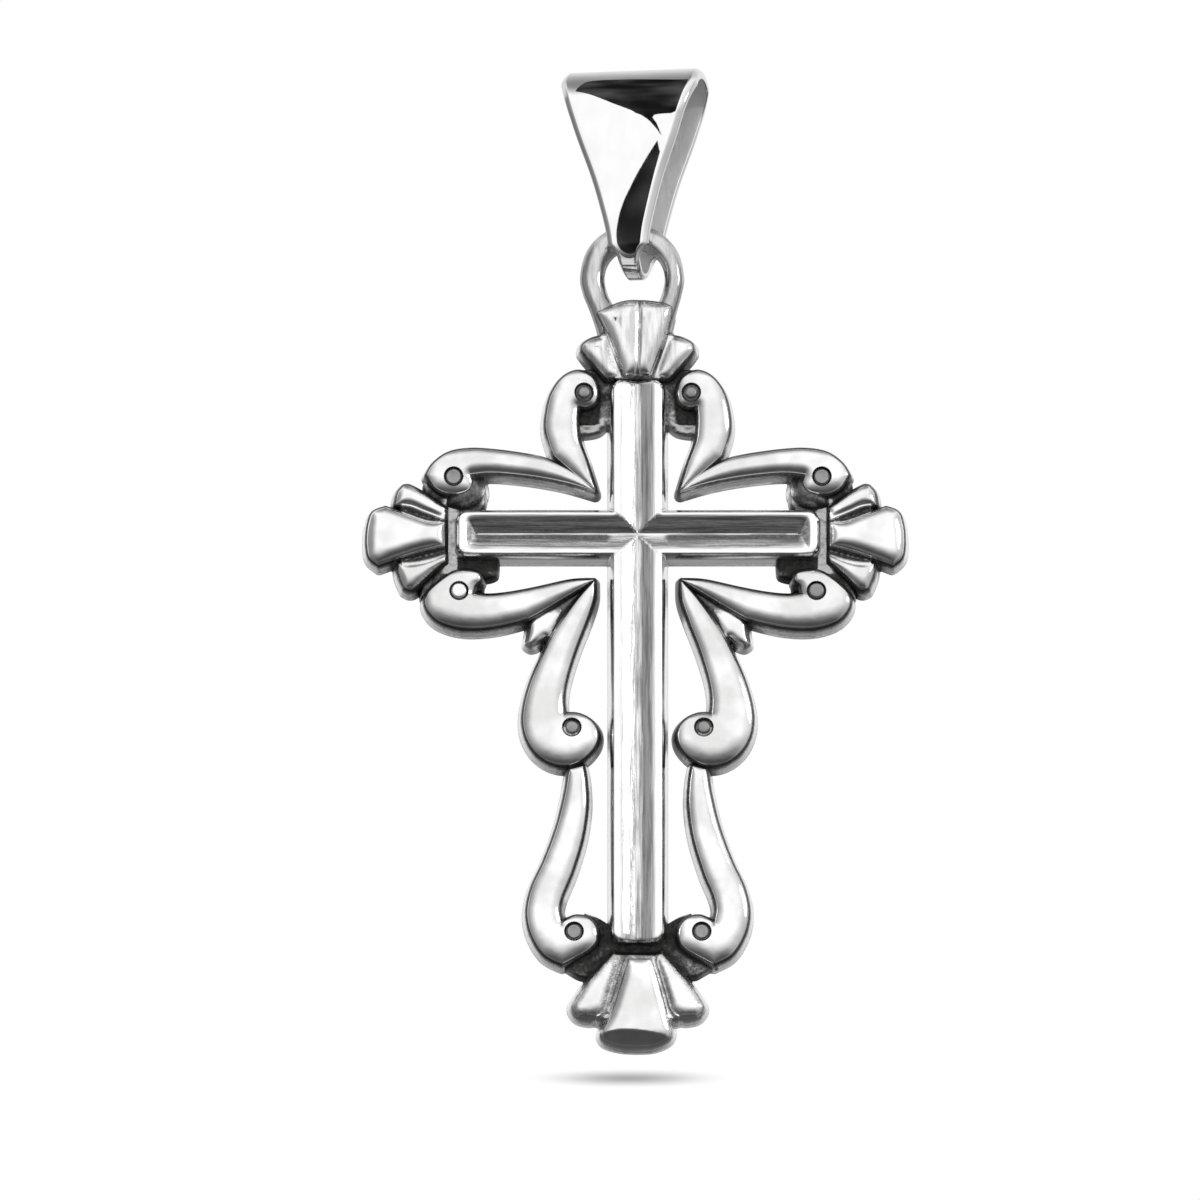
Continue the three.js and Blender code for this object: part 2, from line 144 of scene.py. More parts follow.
FANS = {
    "top": dict(
        centre=[
            [[-0.55, 7.18]],
            [[0.55, 7.25], [0.8, 7.9], [1.2, 9.0]],
            [[1.45, 9.95], [1.45, 10.3]],
            [[1.45, 10.3], [1.0, 10.45], [0, 10.55], [-0.8, 10.45]],
            [[-1.73, 10.02], [-1.35, 9.2], [-1.0, 8.3]]],
        sides=[TOP_SIDE_LOBE],
        floor=[[[-0.95, 7.0]], [[0.95, 7.0]], [[2.1, 8.2]], [[1.3, 9.4]], [[-1.4, 9.4]],
               [[-2.1, 8.2]]]),
    "left": dict(
        centre=[
            [[-8.7, -0.48]],
            [[-8.7, 0.5], [-9.5, 0.6], [-10.5, 0.95]],
            [[-11.3, 1.22], [-11.84, 1.0], [-12.03, 0.5], [-12.1, 0], [-12.1, -0.5],
             [-12.0, -1.0]],
            [[-11.6, -1.35], [-10.9, -1.1], [-9.8, -0.75]]],
        sides=[
            [[[-8.7, 0.7]],
             [[-8.6, 1.2], [-9.4, 1.75], [-10.2, 2.2]],
             [[-10.5, 2.2], [-10.75, 1.9]],
             [[-10.85, 1.35], [-10.2, 1.28], [-9.6, 1.05]]],
            [[[-8.6, -1.2]],
             [[-8.6, -0.95], [-9.8, -1.25]],
             [[-10.75, -1.3], [-10.7, -1.8]],
             [[-10.45, -2.4], [-10.2, -2.5], [-9.9, -2.35], [-9.1, -1.6]]]],
        floor=[[[-8.6, -1.0]], [[-8.6, 1.0]], [[-10.6, 1.6]], [[-10.6, -1.7]]]),
    "bottom": dict(
        centre=[
            [[-0.42, -19.1], [-0.62, -19.7], [-0.98, -20.9], [-1.3, -21.8], [-1.58, -22.3],
             [-1.6, -22.55], [-1.4, -22.76], [-0.8, -22.93], [0, -22.98], [0.7, -22.93],
             [1.25, -22.72], [1.46, -22.45], [1.42, -22.0], [1.15, -20.9], [0.78, -19.6]],
            [[0.6, -19.1]]],
        sides=[BOTTOM_SIDE_LOBE],
        floor=[[[-1.1, -18.9]], [[-2.5, -21.2]], [[-1.75, -21.8]], [[1.75, -21.8]],
               [[2.5, -21.2]], [[1.1, -18.9]]]),
}


# ------------------------------------------------------------------ curves and distances
def catmull(points, t):
    """A Catmull-Rom curve at the places t, which passes point k where t is k."""
    p = np.array(points, float)
    last = len(p) - 1
    i = np.minimum(t.astype(int), last - 1)
    w = (t - i)[:, None]
    before, a, b, after = p[np.maximum(i - 1, 0)], p[i], p[i + 1], p[np.minimum(i + 2, last)]
    v, u = (b - before) / 2, (after - a) / 2
    return (2 * a - 2 * b + v + u) * w**3 + (3 * b - 3 * a - 2 * v - u) * w**2 + v * w + a


def spline(points, step):
    """A Catmull-Rom curve through the points, evenly sampled, without its last point."""
    last = len(points) - 1
    return resampled(catmull(points, np.linspace(0, last, 24 * last + 1)), step)[:-1]


def resampled(curve, step):
    along = np.concatenate([[0], np.cumsum(np.linalg.norm(np.diff(curve, axis=0), axis=1))])
    even = np.linspace(0, along[-1], max(1, round(along[-1] / step)) + 1)
    return np.stack([np.interp(even, along, curve[:, k]) for k in (0, 1)], axis=1)


def outline(stretches, step=FINE):
    """A closed loop of smooth stretches that meet at corners."""
    parts = []
    for k, stretch in enumerate(stretches):
        following = stretches[(k + 1) % len(stretches)][0]
        joined = stretch if stretch[-1] == following else stretch + [following]
        if len(joined) > 1:
            parts.append(spline(joined, step))
    return np.concatenate(parts)


def in_chunks(points, work, size=4000):
    parts = [work(points[k:k + size]) for k in range(0, len(points), size)]
    return np.concatenate(parts) if parts else np.zeros(0)


def edges_of(loop):
    """Start, end, length and direction of each edge of a closed loop."""
    a, b = loop, np.roll(loop, -1, axis=0)
    length = np.linalg.norm(b - a, axis=1)
    return a, b, length, *((b - a) / length[:, None]).T


def signed(points, loop):
    """Distance to a closed loop, negative inside it."""
    a, b, length, tx, tz = edges_of(loop)
    rise = np.where(b[:, 1] == a[:, 1], 1e-12, b[:, 1] - a[:, 1])
    slope = (b[:, 0] - a[:, 0]) / rise

    def work(p):
        x, z = p[:, 0, None] - a[:, 0], p[:, 1, None] - a[:, 1]
        beyond = x * tx + z * tz
        beyond = beyond - np.minimum(np.maximum(beyond, 0), length)
        near = np.sqrt((beyond**2 + (x * tz - z * tx)**2).min(axis=1))
        crosses = ((z < 0) != (p[:, 1, None] < b[:, 1])) & (x < z * slope)
        return np.where(crosses.sum(axis=1) % 2 == 1, -near, near)
    return in_chunks(points, work)


def depth_inside(points, loop):
    """A smoothed distance to the edge of a loop, for points inside it."""
    a, _, length, tx, tz = edges_of(loop)

    def work(p):
        x, z = p[:, 0, None] - a[:, 0], p[:, 1, None] - a[:, 1]
        s = x * tx + z * tz
        h2 = (x * tz - z * tx)**2 + 1e-9
        rest = length - s
        pull = ((rest / np.sqrt(rest**2 + h2) + s / np.sqrt(s**2 + h2)) / h2).sum(axis=1)
        return np.sqrt(2 / np.maximum(pull, 1e-9))
    return in_chunks(points, work)


def level_loop(values, corner, step):
    """The longest closed contour at zero through a grid of values."""
    low = values < 0
    mixed = (low[:-1, :-1] != low[1:, :-1]) | (low[:-1, :-1] != low[:-1, 1:]) | (
        low[:-1, :-1] != low[1:, 1:])
    links = {}
    for i, j in zip(*np.nonzero(mixed)):
        square = [(i, j), (i + 1, j), (i + 1, j + 1), (i, j + 1)]
        cuts = [tuple(sorted((p, q))) for p, q in zip(square, square[1:] + square[:1])
                if low[p] != low[q]]
        for p, q in zip(cuts[::2], cuts[1::2]):
            links.setdefault(p, []).append(q)
            links.setdefault(q, []).append(p)
    loops, seen = [], set()
    for start in links:
        if start in seen:
            continue
        walk, here = [], start
        while here is not None:
            walk.append(here)
            seen.add(here)
            here = next((n for n in links[here] if n not in seen), None)
        loops.append(walk)
    walk = max(loops, key=len)
    points = []
    for p, q in walk:
        w = values[p] / (values[p] - values[q])
        points.append(np.array(p) * (1 - w) + np.array(q) * w)
    loop = np.array(points) * step + corner
    area = np.sum(loop[:, 0] * np.roll(loop[:, 1], -1) - np.roll(loop[:, 0], -1) * loop[:, 1])
    return loop if area > 0 else loop[::-1]


def ring(loop, distance):
    """Points beside a counterclockwise loop, outside it if distance is positive."""
    forward = np.roll(loop, -1, axis=0) - loop
    forward /= np.linalg.norm(forward, axis=1)[:, None]
    out = np.stack([forward[:, 1], -forward[:, 0]], axis=1)
    arrive = np.roll(out, 1, axis=0)
    turn = np.arctan2(arrive[:, 0] * out[:, 1] - arrive[:, 1] * out[:, 0],
                      (arrive * out).sum(axis=1))
    points = []
    for p, n, bend in zip(loop, arrive, turn):
        fan = bend * distance > 0 and abs(bend) > 0.3
        shares = np.linspace(0, 1, 2 + int(abs(bend) / 0.35)) if fan else [0.5]
        for share in shares:
            c, s = math.cos(bend * share), math.sin(bend * share)
            points.append(p + distance * np.array([c * n[0] - s * n[1], s * n[0] + c * n[1]]))
    points = np.array(points)
    return points[np.abs(signed(points, loop) - distance) < 0.03 * abs(distance) + 1e-4]


def hex_grid(low, high, step):
    rows = np.arange(low[1], high[1], step * math.sqrt(0.75))
    columns = np.arange(low[0], high[0], step)
    x = columns[None] + (np.arange(len(rows)) % 2)[:, None] * step / 2
    return np.stack([x, np.broadcast_to(rows[:, None], x.shape)], axis=-1).reshape(-1, 2)


def triangles(points, loops, lines=()):
    """Constrained triangulation: points, faces inside the first loop."""
    verts = [Vector(p) for p in points]
    edges = []
    for loop in loops:
        start = len(verts)
        verts += [Vector(p) for p in loop]
        edges += [(start + k, start + (k + 1) % len(loop)) for k in range(len(loop))]
    for line in lines:
        start = len(verts)
        verts += [Vector(p) for p in line]
        edges += [(start + k, start + k + 1) for k in range(len(line) - 1)]
    out, _, faces, *_ = delaunay_2d_cdt(verts, edges, [], 0, 1e-5)
    out = np.array([tuple(v) for v in out])
    faces = np.array(faces)
    return out, faces[signed(out[faces].mean(axis=1), loops[0]) < 0]


def filled(loop, step, margin):
    """Points and faces that fill a loop evenly."""
    cells = hex_grid(loop.min(axis=0), loop.max(axis=0), step)
    return triangles(cells[signed(cells, loop) < -margin], [loop])


# ------------------------------------------------------------------ cast reliefs
class Slab:
    """One raised part of a casting: its front edge, how high it stands and how it is crowned."""

    def __init__(self, loop, front, crown=0.16, reach=0.75, extra=None, dense=None):
        self.loop, self.front, self.crown, self.reach = loop, front, crown, reach
        self.extra = extra
        self.dense = loop if dense is None else dense

    def height(self, points, spread):
        d = signed(points, self.loop)
        inside = d < 0
        t = np.zeros(len(points))
        if self.crown:
            t[inside] = np.minimum(depth_inside(points[inside], self.loop) / self.reach, 1)
        inner = np.clip(-d, 0, EDGE_SOFT)
        y = self.front + self.crown * (1 - t)**2
        y = y + EDGE_SOFT - np.sqrt(EDGE_SOFT**2 - (EDGE_SOFT - inner)**2)
        if self.extra is not None:
            y = y + self.extra(points)
        out = np.clip(d / spread, 0, 1)
        wall = np.where(out < SHOULDER, SHOULDER_DROP * out / SHOULDER,
                        SHOULDER_DROP + (1 - SHOULDER_DROP) * (out - SHOULDER) / (1 - SHOULDER))
        return y + (BACK_Y - BACK_BEVEL - y) * wall


def relief(slabs, lines=(), rounds=(), spread=SPREAD, roughen=None, coarse=0.4, pick=0.05):
    """Slabs on one flat back, as one closed surface: points and faces."""
    loops = [s.dense for s in slabs]
    everything = np.concatenate(loops)
    low, high = everything.min(axis=0) - 2 * coarse, everything.max(axis=0) + 2 * coarse

    def nearest(points):
        return np.min([signed(points, s.loop) for s in slabs], axis=0)

    def lattice(step):
        axes = [np.arange(low[k], high[k] + step, step) for k in (0, 1)]
        return np.stack(np.meshgrid(*axes, indexing="ij"), axis=-1)

    wide = lattice(coarse)
    rough = nearest(wide.reshape(-1, 2)).reshape(wide.shape[:2])

    def about(points):
        """The distance at the nearest point of the coarse lattice."""
        i, j = np.round((points - low) / coarse).astype(int).T
        return rough[np.minimum(i, rough.shape[0] - 1), np.minimum(j, rough.shape[1] - 1)]

    close = lattice(pick)
    flat = close.reshape(-1, 2)
    value = about(flat)
    band = np.abs(value - spread) < coarse
    value[band] = nearest(flat[band])
    rim = level_loop(value.reshape(close.shape[:2]) - spread, low, pick)
    rim = resampled(np.concatenate([rim, rim[:1]]), FINE)[:-1]

    clear = 2.2 * EDGE_SOFT
    offsets = [-clear, -EDGE_SOFT, -EDGE_SOFT / 2, -0.134 * EDGE_SOFT]
    offsets += [spread * share for share in (0.05, 0.15, SHOULDER, 0.6, 0.8)]
    rings = [ring(s.dense, o) for s in slabs for o in offsets]
    cells = hex_grid(low, high, FINE)
    cells = cells[about(cells) < spread + coarse]
    gap = np.min([np.abs(signed(cells, s.loop)) for s in slabs], axis=0)
    cells = cells[gap > clear + 0.4 * FINE]
    for centre, radius, radii, count in rounds:
        cells = cells[np.linalg.norm(cells - centre, axis=1) > radius]
        for k, r in enumerate(radii):
            turn = (np.arange(count) + k % 2 / 2) * 2 * math.pi / count
            rings.append(centre + r * np.stack([np.cos(turn), np.sin(turn)], axis=1))
    points = np.concatenate([cells] + [r for r in rings if len(r)])
    points = points[signed(points, rim) < -0.3 * FINE]
    plan, faces = triangles(points, [rim] + loops, lines)

    y = np.min([s.height(plan, spread) for s in slabs], axis=0)
    if roughen is not None:
        y = y + roughen(plan, y)
    verts = np.stack([plan[:, 0], y, plan[:, 1]], axis=1)
    used, faces = np.unique(faces, return_inverse=True)
    return closed(verts[used], faces.reshape(-1, 3).tolist())


def boundary(faces):
    """The one open edge of a surface as a loop of points, in the direction of its faces."""
    edges = {edge: True for f in faces for edge in zip(f, f[1:] + f[:1])}
    follow = {a: b for a, b in edges if (b, a) not in edges}
    start = next(iter(follow))
    loop, here = [start], follow[start]
    while here != start:
        if len(loop) > len(follow):
            raise ValueError("the surface has no single open edge")
        loop.append(here)
        here = follow[here]
    return loop


def closed(verts, faces):
    """Adds a bevelled edge and the flat back to a front surface."""
    loop = boundary(faces)
    edge = verts[loop]
    edge[:, 1] = BACK_Y - BACK_BEVEL
    verts[loop] = edge
    plan = edge[:, [0, 2]]
    run = np.roll(plan, -1, axis=0) - np.roll(plan, 1, axis=0)
    run /= np.linalg.norm(run, axis=1)[:, None]
    inward = np.stack([-run[:, 1], run[:, 0]], axis=1)
    start = len(verts)
    extra = []
    for share in (0.5, 1.0):
        turn = share * math.pi / 2
        x, z = (plan + inward * BACK_BEVEL * (1 - math.cos(turn))).T
        y = np.full(len(plan), BACK_Y - BACK_BEVEL * (1 - math.sin(turn)))
        extra.append(np.stack([x, y, z], axis=1))
    count = len(loop)
    previous = loop
    for k in range(2):
        ahead = list(range(start + k * count, start + (k + 1) * count))
        for i in range(count):
            j = (i + 1) % count
            faces.append([previous[j], previous[i], ahead[i], ahead[j]])
        previous = ahead
    back = extra[-1][:, [0, 2]]
    flat, caps = filled(back, BACK_STEP, BACK_STEP * 0.4)
    known = {tuple(np.round(p, 4)): start + count + k for k, p in enumerate(back)}
    index, added = [], []
    for p in flat:
        key = tuple(np.round(p, 4))
        if key not in known:
            known[key] = start + 2 * count + len(added)
            added.append([p[0], BACK_Y, p[1]])
        index.append(known[key])
    faces += [[index[c], index[b], index[a]] for a, b, c in caps.tolist()]
    return np.concatenate([verts] + extra + ([np.array(added)] if added else [])), faces


def flipped(surface):
    verts, faces = surface
    return verts * np.array([-1, 1, 1]), [f[::-1] for f in faces]


# ------------------------------------------------------------------ meshes
made = []


def new_object(name, points, faces, material):
    mesh = bpy.data.meshes.new(name)
    mesh.from_pydata(points, [], faces)
    mesh.materials.append(material)
    obj = bpy.data.objects.new(name, mesh)
    bpy.context.scene.collection.objects.link(obj)
    return obj


def vectors(items, what):
    """A three-part property of every item, as rows."""
    flat = np.empty(len(items) * 3)
    items.foreach_get(what, flat)
    return flat.reshape(-1, 3)


def store(mesh, name, values):
    """Keeps a number per vertex, for the materials."""
    layer = mesh.attributes.new(name, "FLOAT", "POINT")
    layer.data.foreach_set("value", values.astype(np.float32))


def piece(node, surface, material, body="cross", slot="cast_silver", crease=38, patina_and_shade=None,
          sunk=None):
    """Makes the mesh that stands for a node, with the painted shade and light given at points
    of it; sunk is how far its flat back lies inside the common one: no two neighbours share a plane."""
    verts, faces = surface
    if sunk is not None:
        verts[:, 1] = np.minimum(verts[:, 1], BACK_Y - sunk)
    fan = [(f[0], f[k], f[k + 1]) for f in faces for k in range(1, len(f) - 1)]
    a, b, c = verts[np.array(fan)].transpose(1, 0, 2)
    if np.einsum("ij,ij->", a, np.cross(b, c)) < 0:
        faces = [f[::-1] for f in faces]
    obj = new_object(node + "_silver", (verts * MM + ORIGIN).tolist(), faces, material)
    obj.data.shade_smooth()
    obj.data.set_sharp_from_angle(angle=math.radians(crease))
    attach(obj, body)
    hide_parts(node)
    made.append((obj, np.zeros(len(verts)) if patina_and_shade is None else patina_and_shade(verts)))
    return obj


# ------------------------------------------------------------------ the parts
GROOVE = 0.5           # depth of the grooves, with their mouths' half widths and the arms' ends
UPRIGHT_MOUTH, ARM_MOUTH, ARM_GROOVE_END, ARM_HIP = 0.88, 0.84, 7.75, 0.45
UPRIGHT_BOTTOM = -18.3


def densify(loop, step=FINE):
    parts = [resampled(np.array([a, b]), step)[:-1] for a, b in zip(loop, np.roll(loop, -1, 0))]
    return np.concatenate(parts)


def bar_loop():
    half, arm, end, top, low, r = 1.1, 0.95, 8.03, UPRIGHT_TOP, UPRIGHT_BOTTOM, 0.4
    corners = [(half, low, r), (half, -arm, 0), (end, -arm, r), (end, arm, r), (half, arm, 0),
               (half, top, r)]
    corners += [(-x, z, radius) for x, z, radius in reversed(corners)]
    points = []
    plan = np.array([c[:2] for c in corners])
    for k, (x, z, radius) in enumerate(corners):
        here = plan[k]
        a = here - plan[k - 1]
        b = plan[(k + 1) % len(plan)] - here
        a, b = a / np.linalg.norm(a), b / np.linalg.norm(b)
        if radius == 0:
            points.append(here)
            continue
        for turn in np.linspace(0, math.pi / 2, 7):
            sweep = a * math.sin(turn) - b * math.cos(turn)
            points.append(here + radius * (b - a) + radius * sweep)
    return np.array(points)


def groove(points):
    """Depth of the crossing grooves, whose flanks steepen towards the middle."""
    x, z = np.abs(points[:, 0]), np.abs(points[:, 1])
    upright = np.clip(1 - x / UPRIGHT_MOUTH, 0, 1)**1.45
    flank, hip = 1 - z / ARM_MOUTH, (ARM_GROOVE_END - x) / ARM_HIP
    soft = 0.5 * (flank + hip - np.hypot(flank - hip, 0.25)) + 0.06 * np.clip(hip, 0, 1)
    arms = np.clip(soft, 0, 1)**1.35
    return GROOVE * np.maximum(upright, arms)


def bar_cross():
    loop = bar_loop()
    slab = Slab(loop, BAR_FRONT, crown=0.03, reach=0.25, extra=groove, dense=densify(loop))
    u, a = UPRIGHT_MOUTH, ARM_MOUTH
    far, end = ARM_GROOVE_END, ARM_GROOVE_END - ARM_HIP
    low, top = UPRIGHT_BOTTOM - 0.2, UPRIGHT_TOP + 0.2
    runs = [[(0, low), (0, 0)], [(0, 0), (0, top)]]
    for s in (-1, 1):
        runs += [[(0, 0), (s * end, 0)], [(s * far, -a), (s * far, a)],
                 [(s * u, low), (s * u, -a)], [(s * u, a), (s * u, top)]]
        for t in (-1, 1):
            runs += [[(0, 0), (s * u, t * a)], [(s * end, 0), (s * far, t * a)],
                     [(s * u, t * a), (s * far, t * a)]]
    lines = [resampled(np.array(r, float), FINE) for r in runs]
    return relief([slab], lines)


def end_bevel(points):
    below = -22.33 - points[:, 1] - 0.1 * points[:, 0] - 0.1 * points[:, 0]**2
    return np.clip(below, 0, 1) * 0.8


def from_crease(x, z):
    return np.abs(x - 0.03 - 0.03 * (z - 8.5))


def crease_top(points):
    away = from_crease(*points.T)
    return 0.1 * np.clip(1 - away / 0.22, 0, 1)**1.5 - 0.05 * np.minimum(away, 0.8)


FAN_ROOT_X, FAN_SHORTER = -8.0, 0.05   # where the fan starts, and how much shorter it is right


def mirror(loop):
    return (loop * np.array([-1, 1]))[::-1]


def turned_right(loop):
    """The left fan's loops on the right, where the fan is a little shorter."""
    out = np.minimum(loop[:, 0] - FAN_ROOT_X, 0)
    return mirror(loop - np.stack([FAN_SHORTER * out, 0 * out], axis=1))


def fan_slabs(place):
    plan = FANS["left" if place == "right" else place]
    extra = {"top": crease_top, "bottom": end_bevel}.get(place)
    turn = turned_right if place == "right" else lambda loop: loop
    slabs = [Slab(turn(outline(plan["centre"])), FAN_FRONT, crown=0.26, reach=0.6, extra=extra)]
    sides = [outline(s) for s in plan["sides"]]
    if len(sides) == 1:
        sides.append(mirror(sides[0]))
    slabs += [Slab(turn(s), FAN_SIDE_FRONT, crown=0.26, reach=0.5) for s in sides]
    lobes = [slab.loop for slab in slabs]

    slope = 0.5 if place == "bottom" else 0.85

    def trough(points):
        """The flutes sink away from the lobes on both sides."""
        return slope * np.clip(np.min([signed(points, lobe) for lobe in lobes], axis=0), 0, 0.5)
    slabs.append(Slab(turn(densify(outline(plan["floor"]))), FLUTE_Y, crown=0.0, extra=trough))
    return slabs


PIT_RADIUS, PIT_DEPTH, PIT_WALL = 0.4, 0.26, 0.06


def pit(eye):
    """The round pit that holds a bead."""
    def extra(points):
        away = np.linalg.norm(points - eye, axis=1)
        return PIT_DEPTH * np.clip((PIT_RADIUS + PIT_WALL / 2 - away) / PIT_WALL, 0, 1)
    return extra


VALLEYS = (((-1.95, -2.1), (-4.7, -5.1), 0.42), ((-1.9, 2.0), (-4.2, 3.75), 0.45))


def valleys(verts):
    """Where two scrolls lean together painted light lifts the painted shade, as much as this says.
    """
    plan = np.stack([-np.abs(verts[:, 0]), verts[:, 2]], axis=1)
    total = np.zeros(len(verts))
    for start, end, lightened in VALLEYS:
        run = np.subtract(end, start)
        t = np.clip((plan - start) @ run / (run @ run), 0.04, 1)
        away = np.linalg.norm(plan - start - t[:, None] * run, axis=1)
        total -= lightened * np.clip(1.5 - away / (0.25 + 0.3 * t), 0, 1)
    return total


def tip_painted_shade(verts):
    """Painted shade: the inner tips of the lower scrolls are nearly black round the side, most so
    on the right.
    """
    away = np.hypot(np.abs(verts[:, 0]) - 1.75, (verts[:, 2] + 2.25) * 0.6)
    side = np.where(verts[:, 0] > 0, 0.9, 0.35) * (verts[:, 1] > SCROLL_FRONT + 0.2)
    return side * np.exp(-(away / 0.55)**2)


def flank_painted_shade(verts):
    """Painted shade: the arms' groove's lower flanks are grey from the valley to half way down."""
    x, z = np.abs(verts[:, 0]), verts[:, 2]
    fade = np.clip((x - 1.0) / 0.4, 0, 1) * np.clip((ARM_GROOVE_END - 0.1 - x) / 0.5, 0, 1)
    return 0.6 * fade * (z < 0) * np.clip((z + 0.75) / 0.35, 0, 1) * (verts[:, 1] < 0)


def arm_web_painted_shade(verts):
    """Painted shade: nearly black in the block below the bar's end; painted light makes the channel
    at the bar's end grey.
    """
    x, z = np.abs(verts[:, 0]), verts[:, 2]
    channel = np.exp(-((x - 8.4) / 0.35)**4) * (np.abs(z) < 1.7)
    return 0.4 * (z < -1.0) * (x < 8.1) - 0.5 * channel


def walled(start, under=0.42, wall=0.24):
    """Painted shade on the walls that begin at depth start: a dark line under the edge, then less.
    """
    def patina_and_shade(verts):
        y = verts[:, 1]
        below = np.maximum(y - start, 0)
        rim = 0.25 * np.clip((y - BACK_Y + 0.25) / 0.2, 0, 1)
        return (y > start) * (wall + under * np.exp(-below / 0.2) + rim) + valleys(verts)
    return patina_and_shade


def fan_painted_shade(place):
    """Painted shade: the walls' dark line, grey flutes between the lobes, a line in the top crease.
    """
    bottom = place == "bottom"
    walls = walled(FLUTE_Y + 0.08, 0.35 if bottom else 0.6, 0.05 if bottom else 0.3)

    def patina_and_shade(verts):
        x, y, z = verts.T
        flute = np.exp(-((y - FLUTE_Y) / (0.2 if bottom else 0.14))**2) * (z > -21.6)
        line = 0.0
        if place == "top":
            line = 0.55 * np.exp(-(from_crease(x, z) / 0.07)**2) * (y < FAN_FRONT + 0.3)
        return walls(verts) + (0.55 if bottom else 0.3) * flute + line
    return patina_and_shade


def leaf_painted_shade(verts):
    """Painted shade: the leaf darkens towards the valley between the scrolls."""
    return 0.75 * np.clip((4.4 - np.abs(verts[:, 0])) / 0.9, 0, 1) + walled(LEAF_FRONT + 0.22)(verts)


def hollow_painted_shade(verts):
    """Painted shade, nearly black, below the top scrolls' heads; painted light on the rolled edge
    under that.
    """
    x, y, z = np.abs(verts[:, 0]), verts[:, 1], verts[:, 2]
    rolled = np.clip((5.05 + 0.18 * (x - 2.2)**2 - z) / 0.12, 0, 1)
    black = np.clip((6.1 - z) / 0.3, 0, 1) * np.clip((x - 1.6) / 0.3, 0, 1) * (y < WEB_Y + 0.2)
    return 0.8 * black * (1 - rolled) - 0.9 * np.maximum(rolled, y > WEB_Y + 0.25)


def scroll(plan):
    eye = np.array(plan["eye"])
    slab = Slab(outline(plan["edge"]), SCROLL_FRONT, crown=0.24, reach=0.8, extra=pit(eye))
    radii = (0.3, 0.345, 0.37, 0.385, 0.4, 0.415, 0.43, 0.455)
    slabs = [slab] + [Slab(outline(c), SCROLL_FRONT + 0.3, crown=0.4, reach=0.5)
                      for c in plan.get("curls", [])]
    return relief(slabs, rounds=[(eye, 0.48, radii, 36)])


def leaf():
    def hollow(points):
        """The face sinks towards the tip where the two scrolls meet."""
        return 0.16 * np.clip(points[:, 0] + 4.6, 0, 2)
    return relief([Slab(outline(LEAF_EDGE), LEAF_FRONT, crown=0.18, reach=0.4, extra=hollow)])


GRAIN, GRAIN_SCALE = 0.05, 3.1


def grain(plan, y):
    """The casting's rough skin on the front of a web."""
    rough = [fractal(Vector((x * GRAIN_SCALE, z * GRAIN_SCALE, 4.2)), 1.0, 2.0, 4) for x, z in plan]
    return np.array(rough) * GRAIN * (y < BACK_Y - 0.5)


def web(edge):
    loop = outline(edge)
    return relief([Slab(loop, WEB_Y, crown=0.05, reach=0.4)], roughen=grain, spread=WEB_SPREAD)


# How each scroll's bead looks: radius, how far below the front it stops, dome.
BEADS = {
    "top": (0.25, 0.07, 0.04), "upper_arm": (0.32, 0.10, -0.03), "lower_arm": (0.33, 0.0, 0.03),
    "middle": (0.27, 0.08, 0.03), "lower": (0.3, 0.10, -0.02),
}


def bead(place):
    radius, low, dome = BEADS[place]
    cx, cz = SCROLLS[place]["eye"]
    front = SCROLL_FRONT + low
    profile = [(r * radius, front - dome * (1 - r**2)) for r in (0.18, 0.36, 0.54, 0.72, 0.86)]
    profile += [(radius * 0.95, front + 0.012), (radius, front + 0.04),
                (radius, SCROLL_FRONT + 0.3)]
    sides = 40
    verts = [[cx, front - dome, cz]]
    faces = []
    for r, y in profile:
        for j in range(sides):
            turn = j * 2 * math.pi / sides
            verts.append([cx + r * math.cos(turn), y, cz + r * math.sin(turn)])
    for j in range(sides):
        n = (j + 1) % sides
        faces.append([0, 1 + j, 1 + n])
        for k in range(len(profile) - 1):
            a = 1 + k * sides
            faces.append([a + j, a + sides + j, a + sides + n, a + n])
    faces.append([len(verts) - sides + j for j in range(sides)][::-1])
    return np.array(verts), faces


def tube(sections, capped):
    """A surface through matching closed sections; the last joins the first unless capped."""
    sections = np.array(sections)
    rows, count = sections.shape[:2]
    faces = []
    for i in range(rows - 1 if capped else rows):
        here, ahead = i * count, ((i + 1) % rows) * count
        for j in range(count):
            k = (j + 1) % count
            faces.append([here + j, here + k, ahead + k, ahead + j])
    if capped:
        faces.append(list(range(count))[::-1])
        faces.append([(rows - 1) * count + j for j in range(count)])
    return sections.reshape(-1, 3), faces


EYE_OUTER = (-0.25, 11.79, 2.34, 2.36)   # middle x and height, radii across and up
EYE_INNER = (-0.13, 11.68, 1.35, 1.32)
EYE_WIRE = 0.5         # half the wire's thickness
EYE_STEPS, EYE_SIDES = 150, 36


def on_oval(oval, turn):
    x, z, across, up = oval
    return x + across * math.cos(turn), z + up * math.sin(turn)


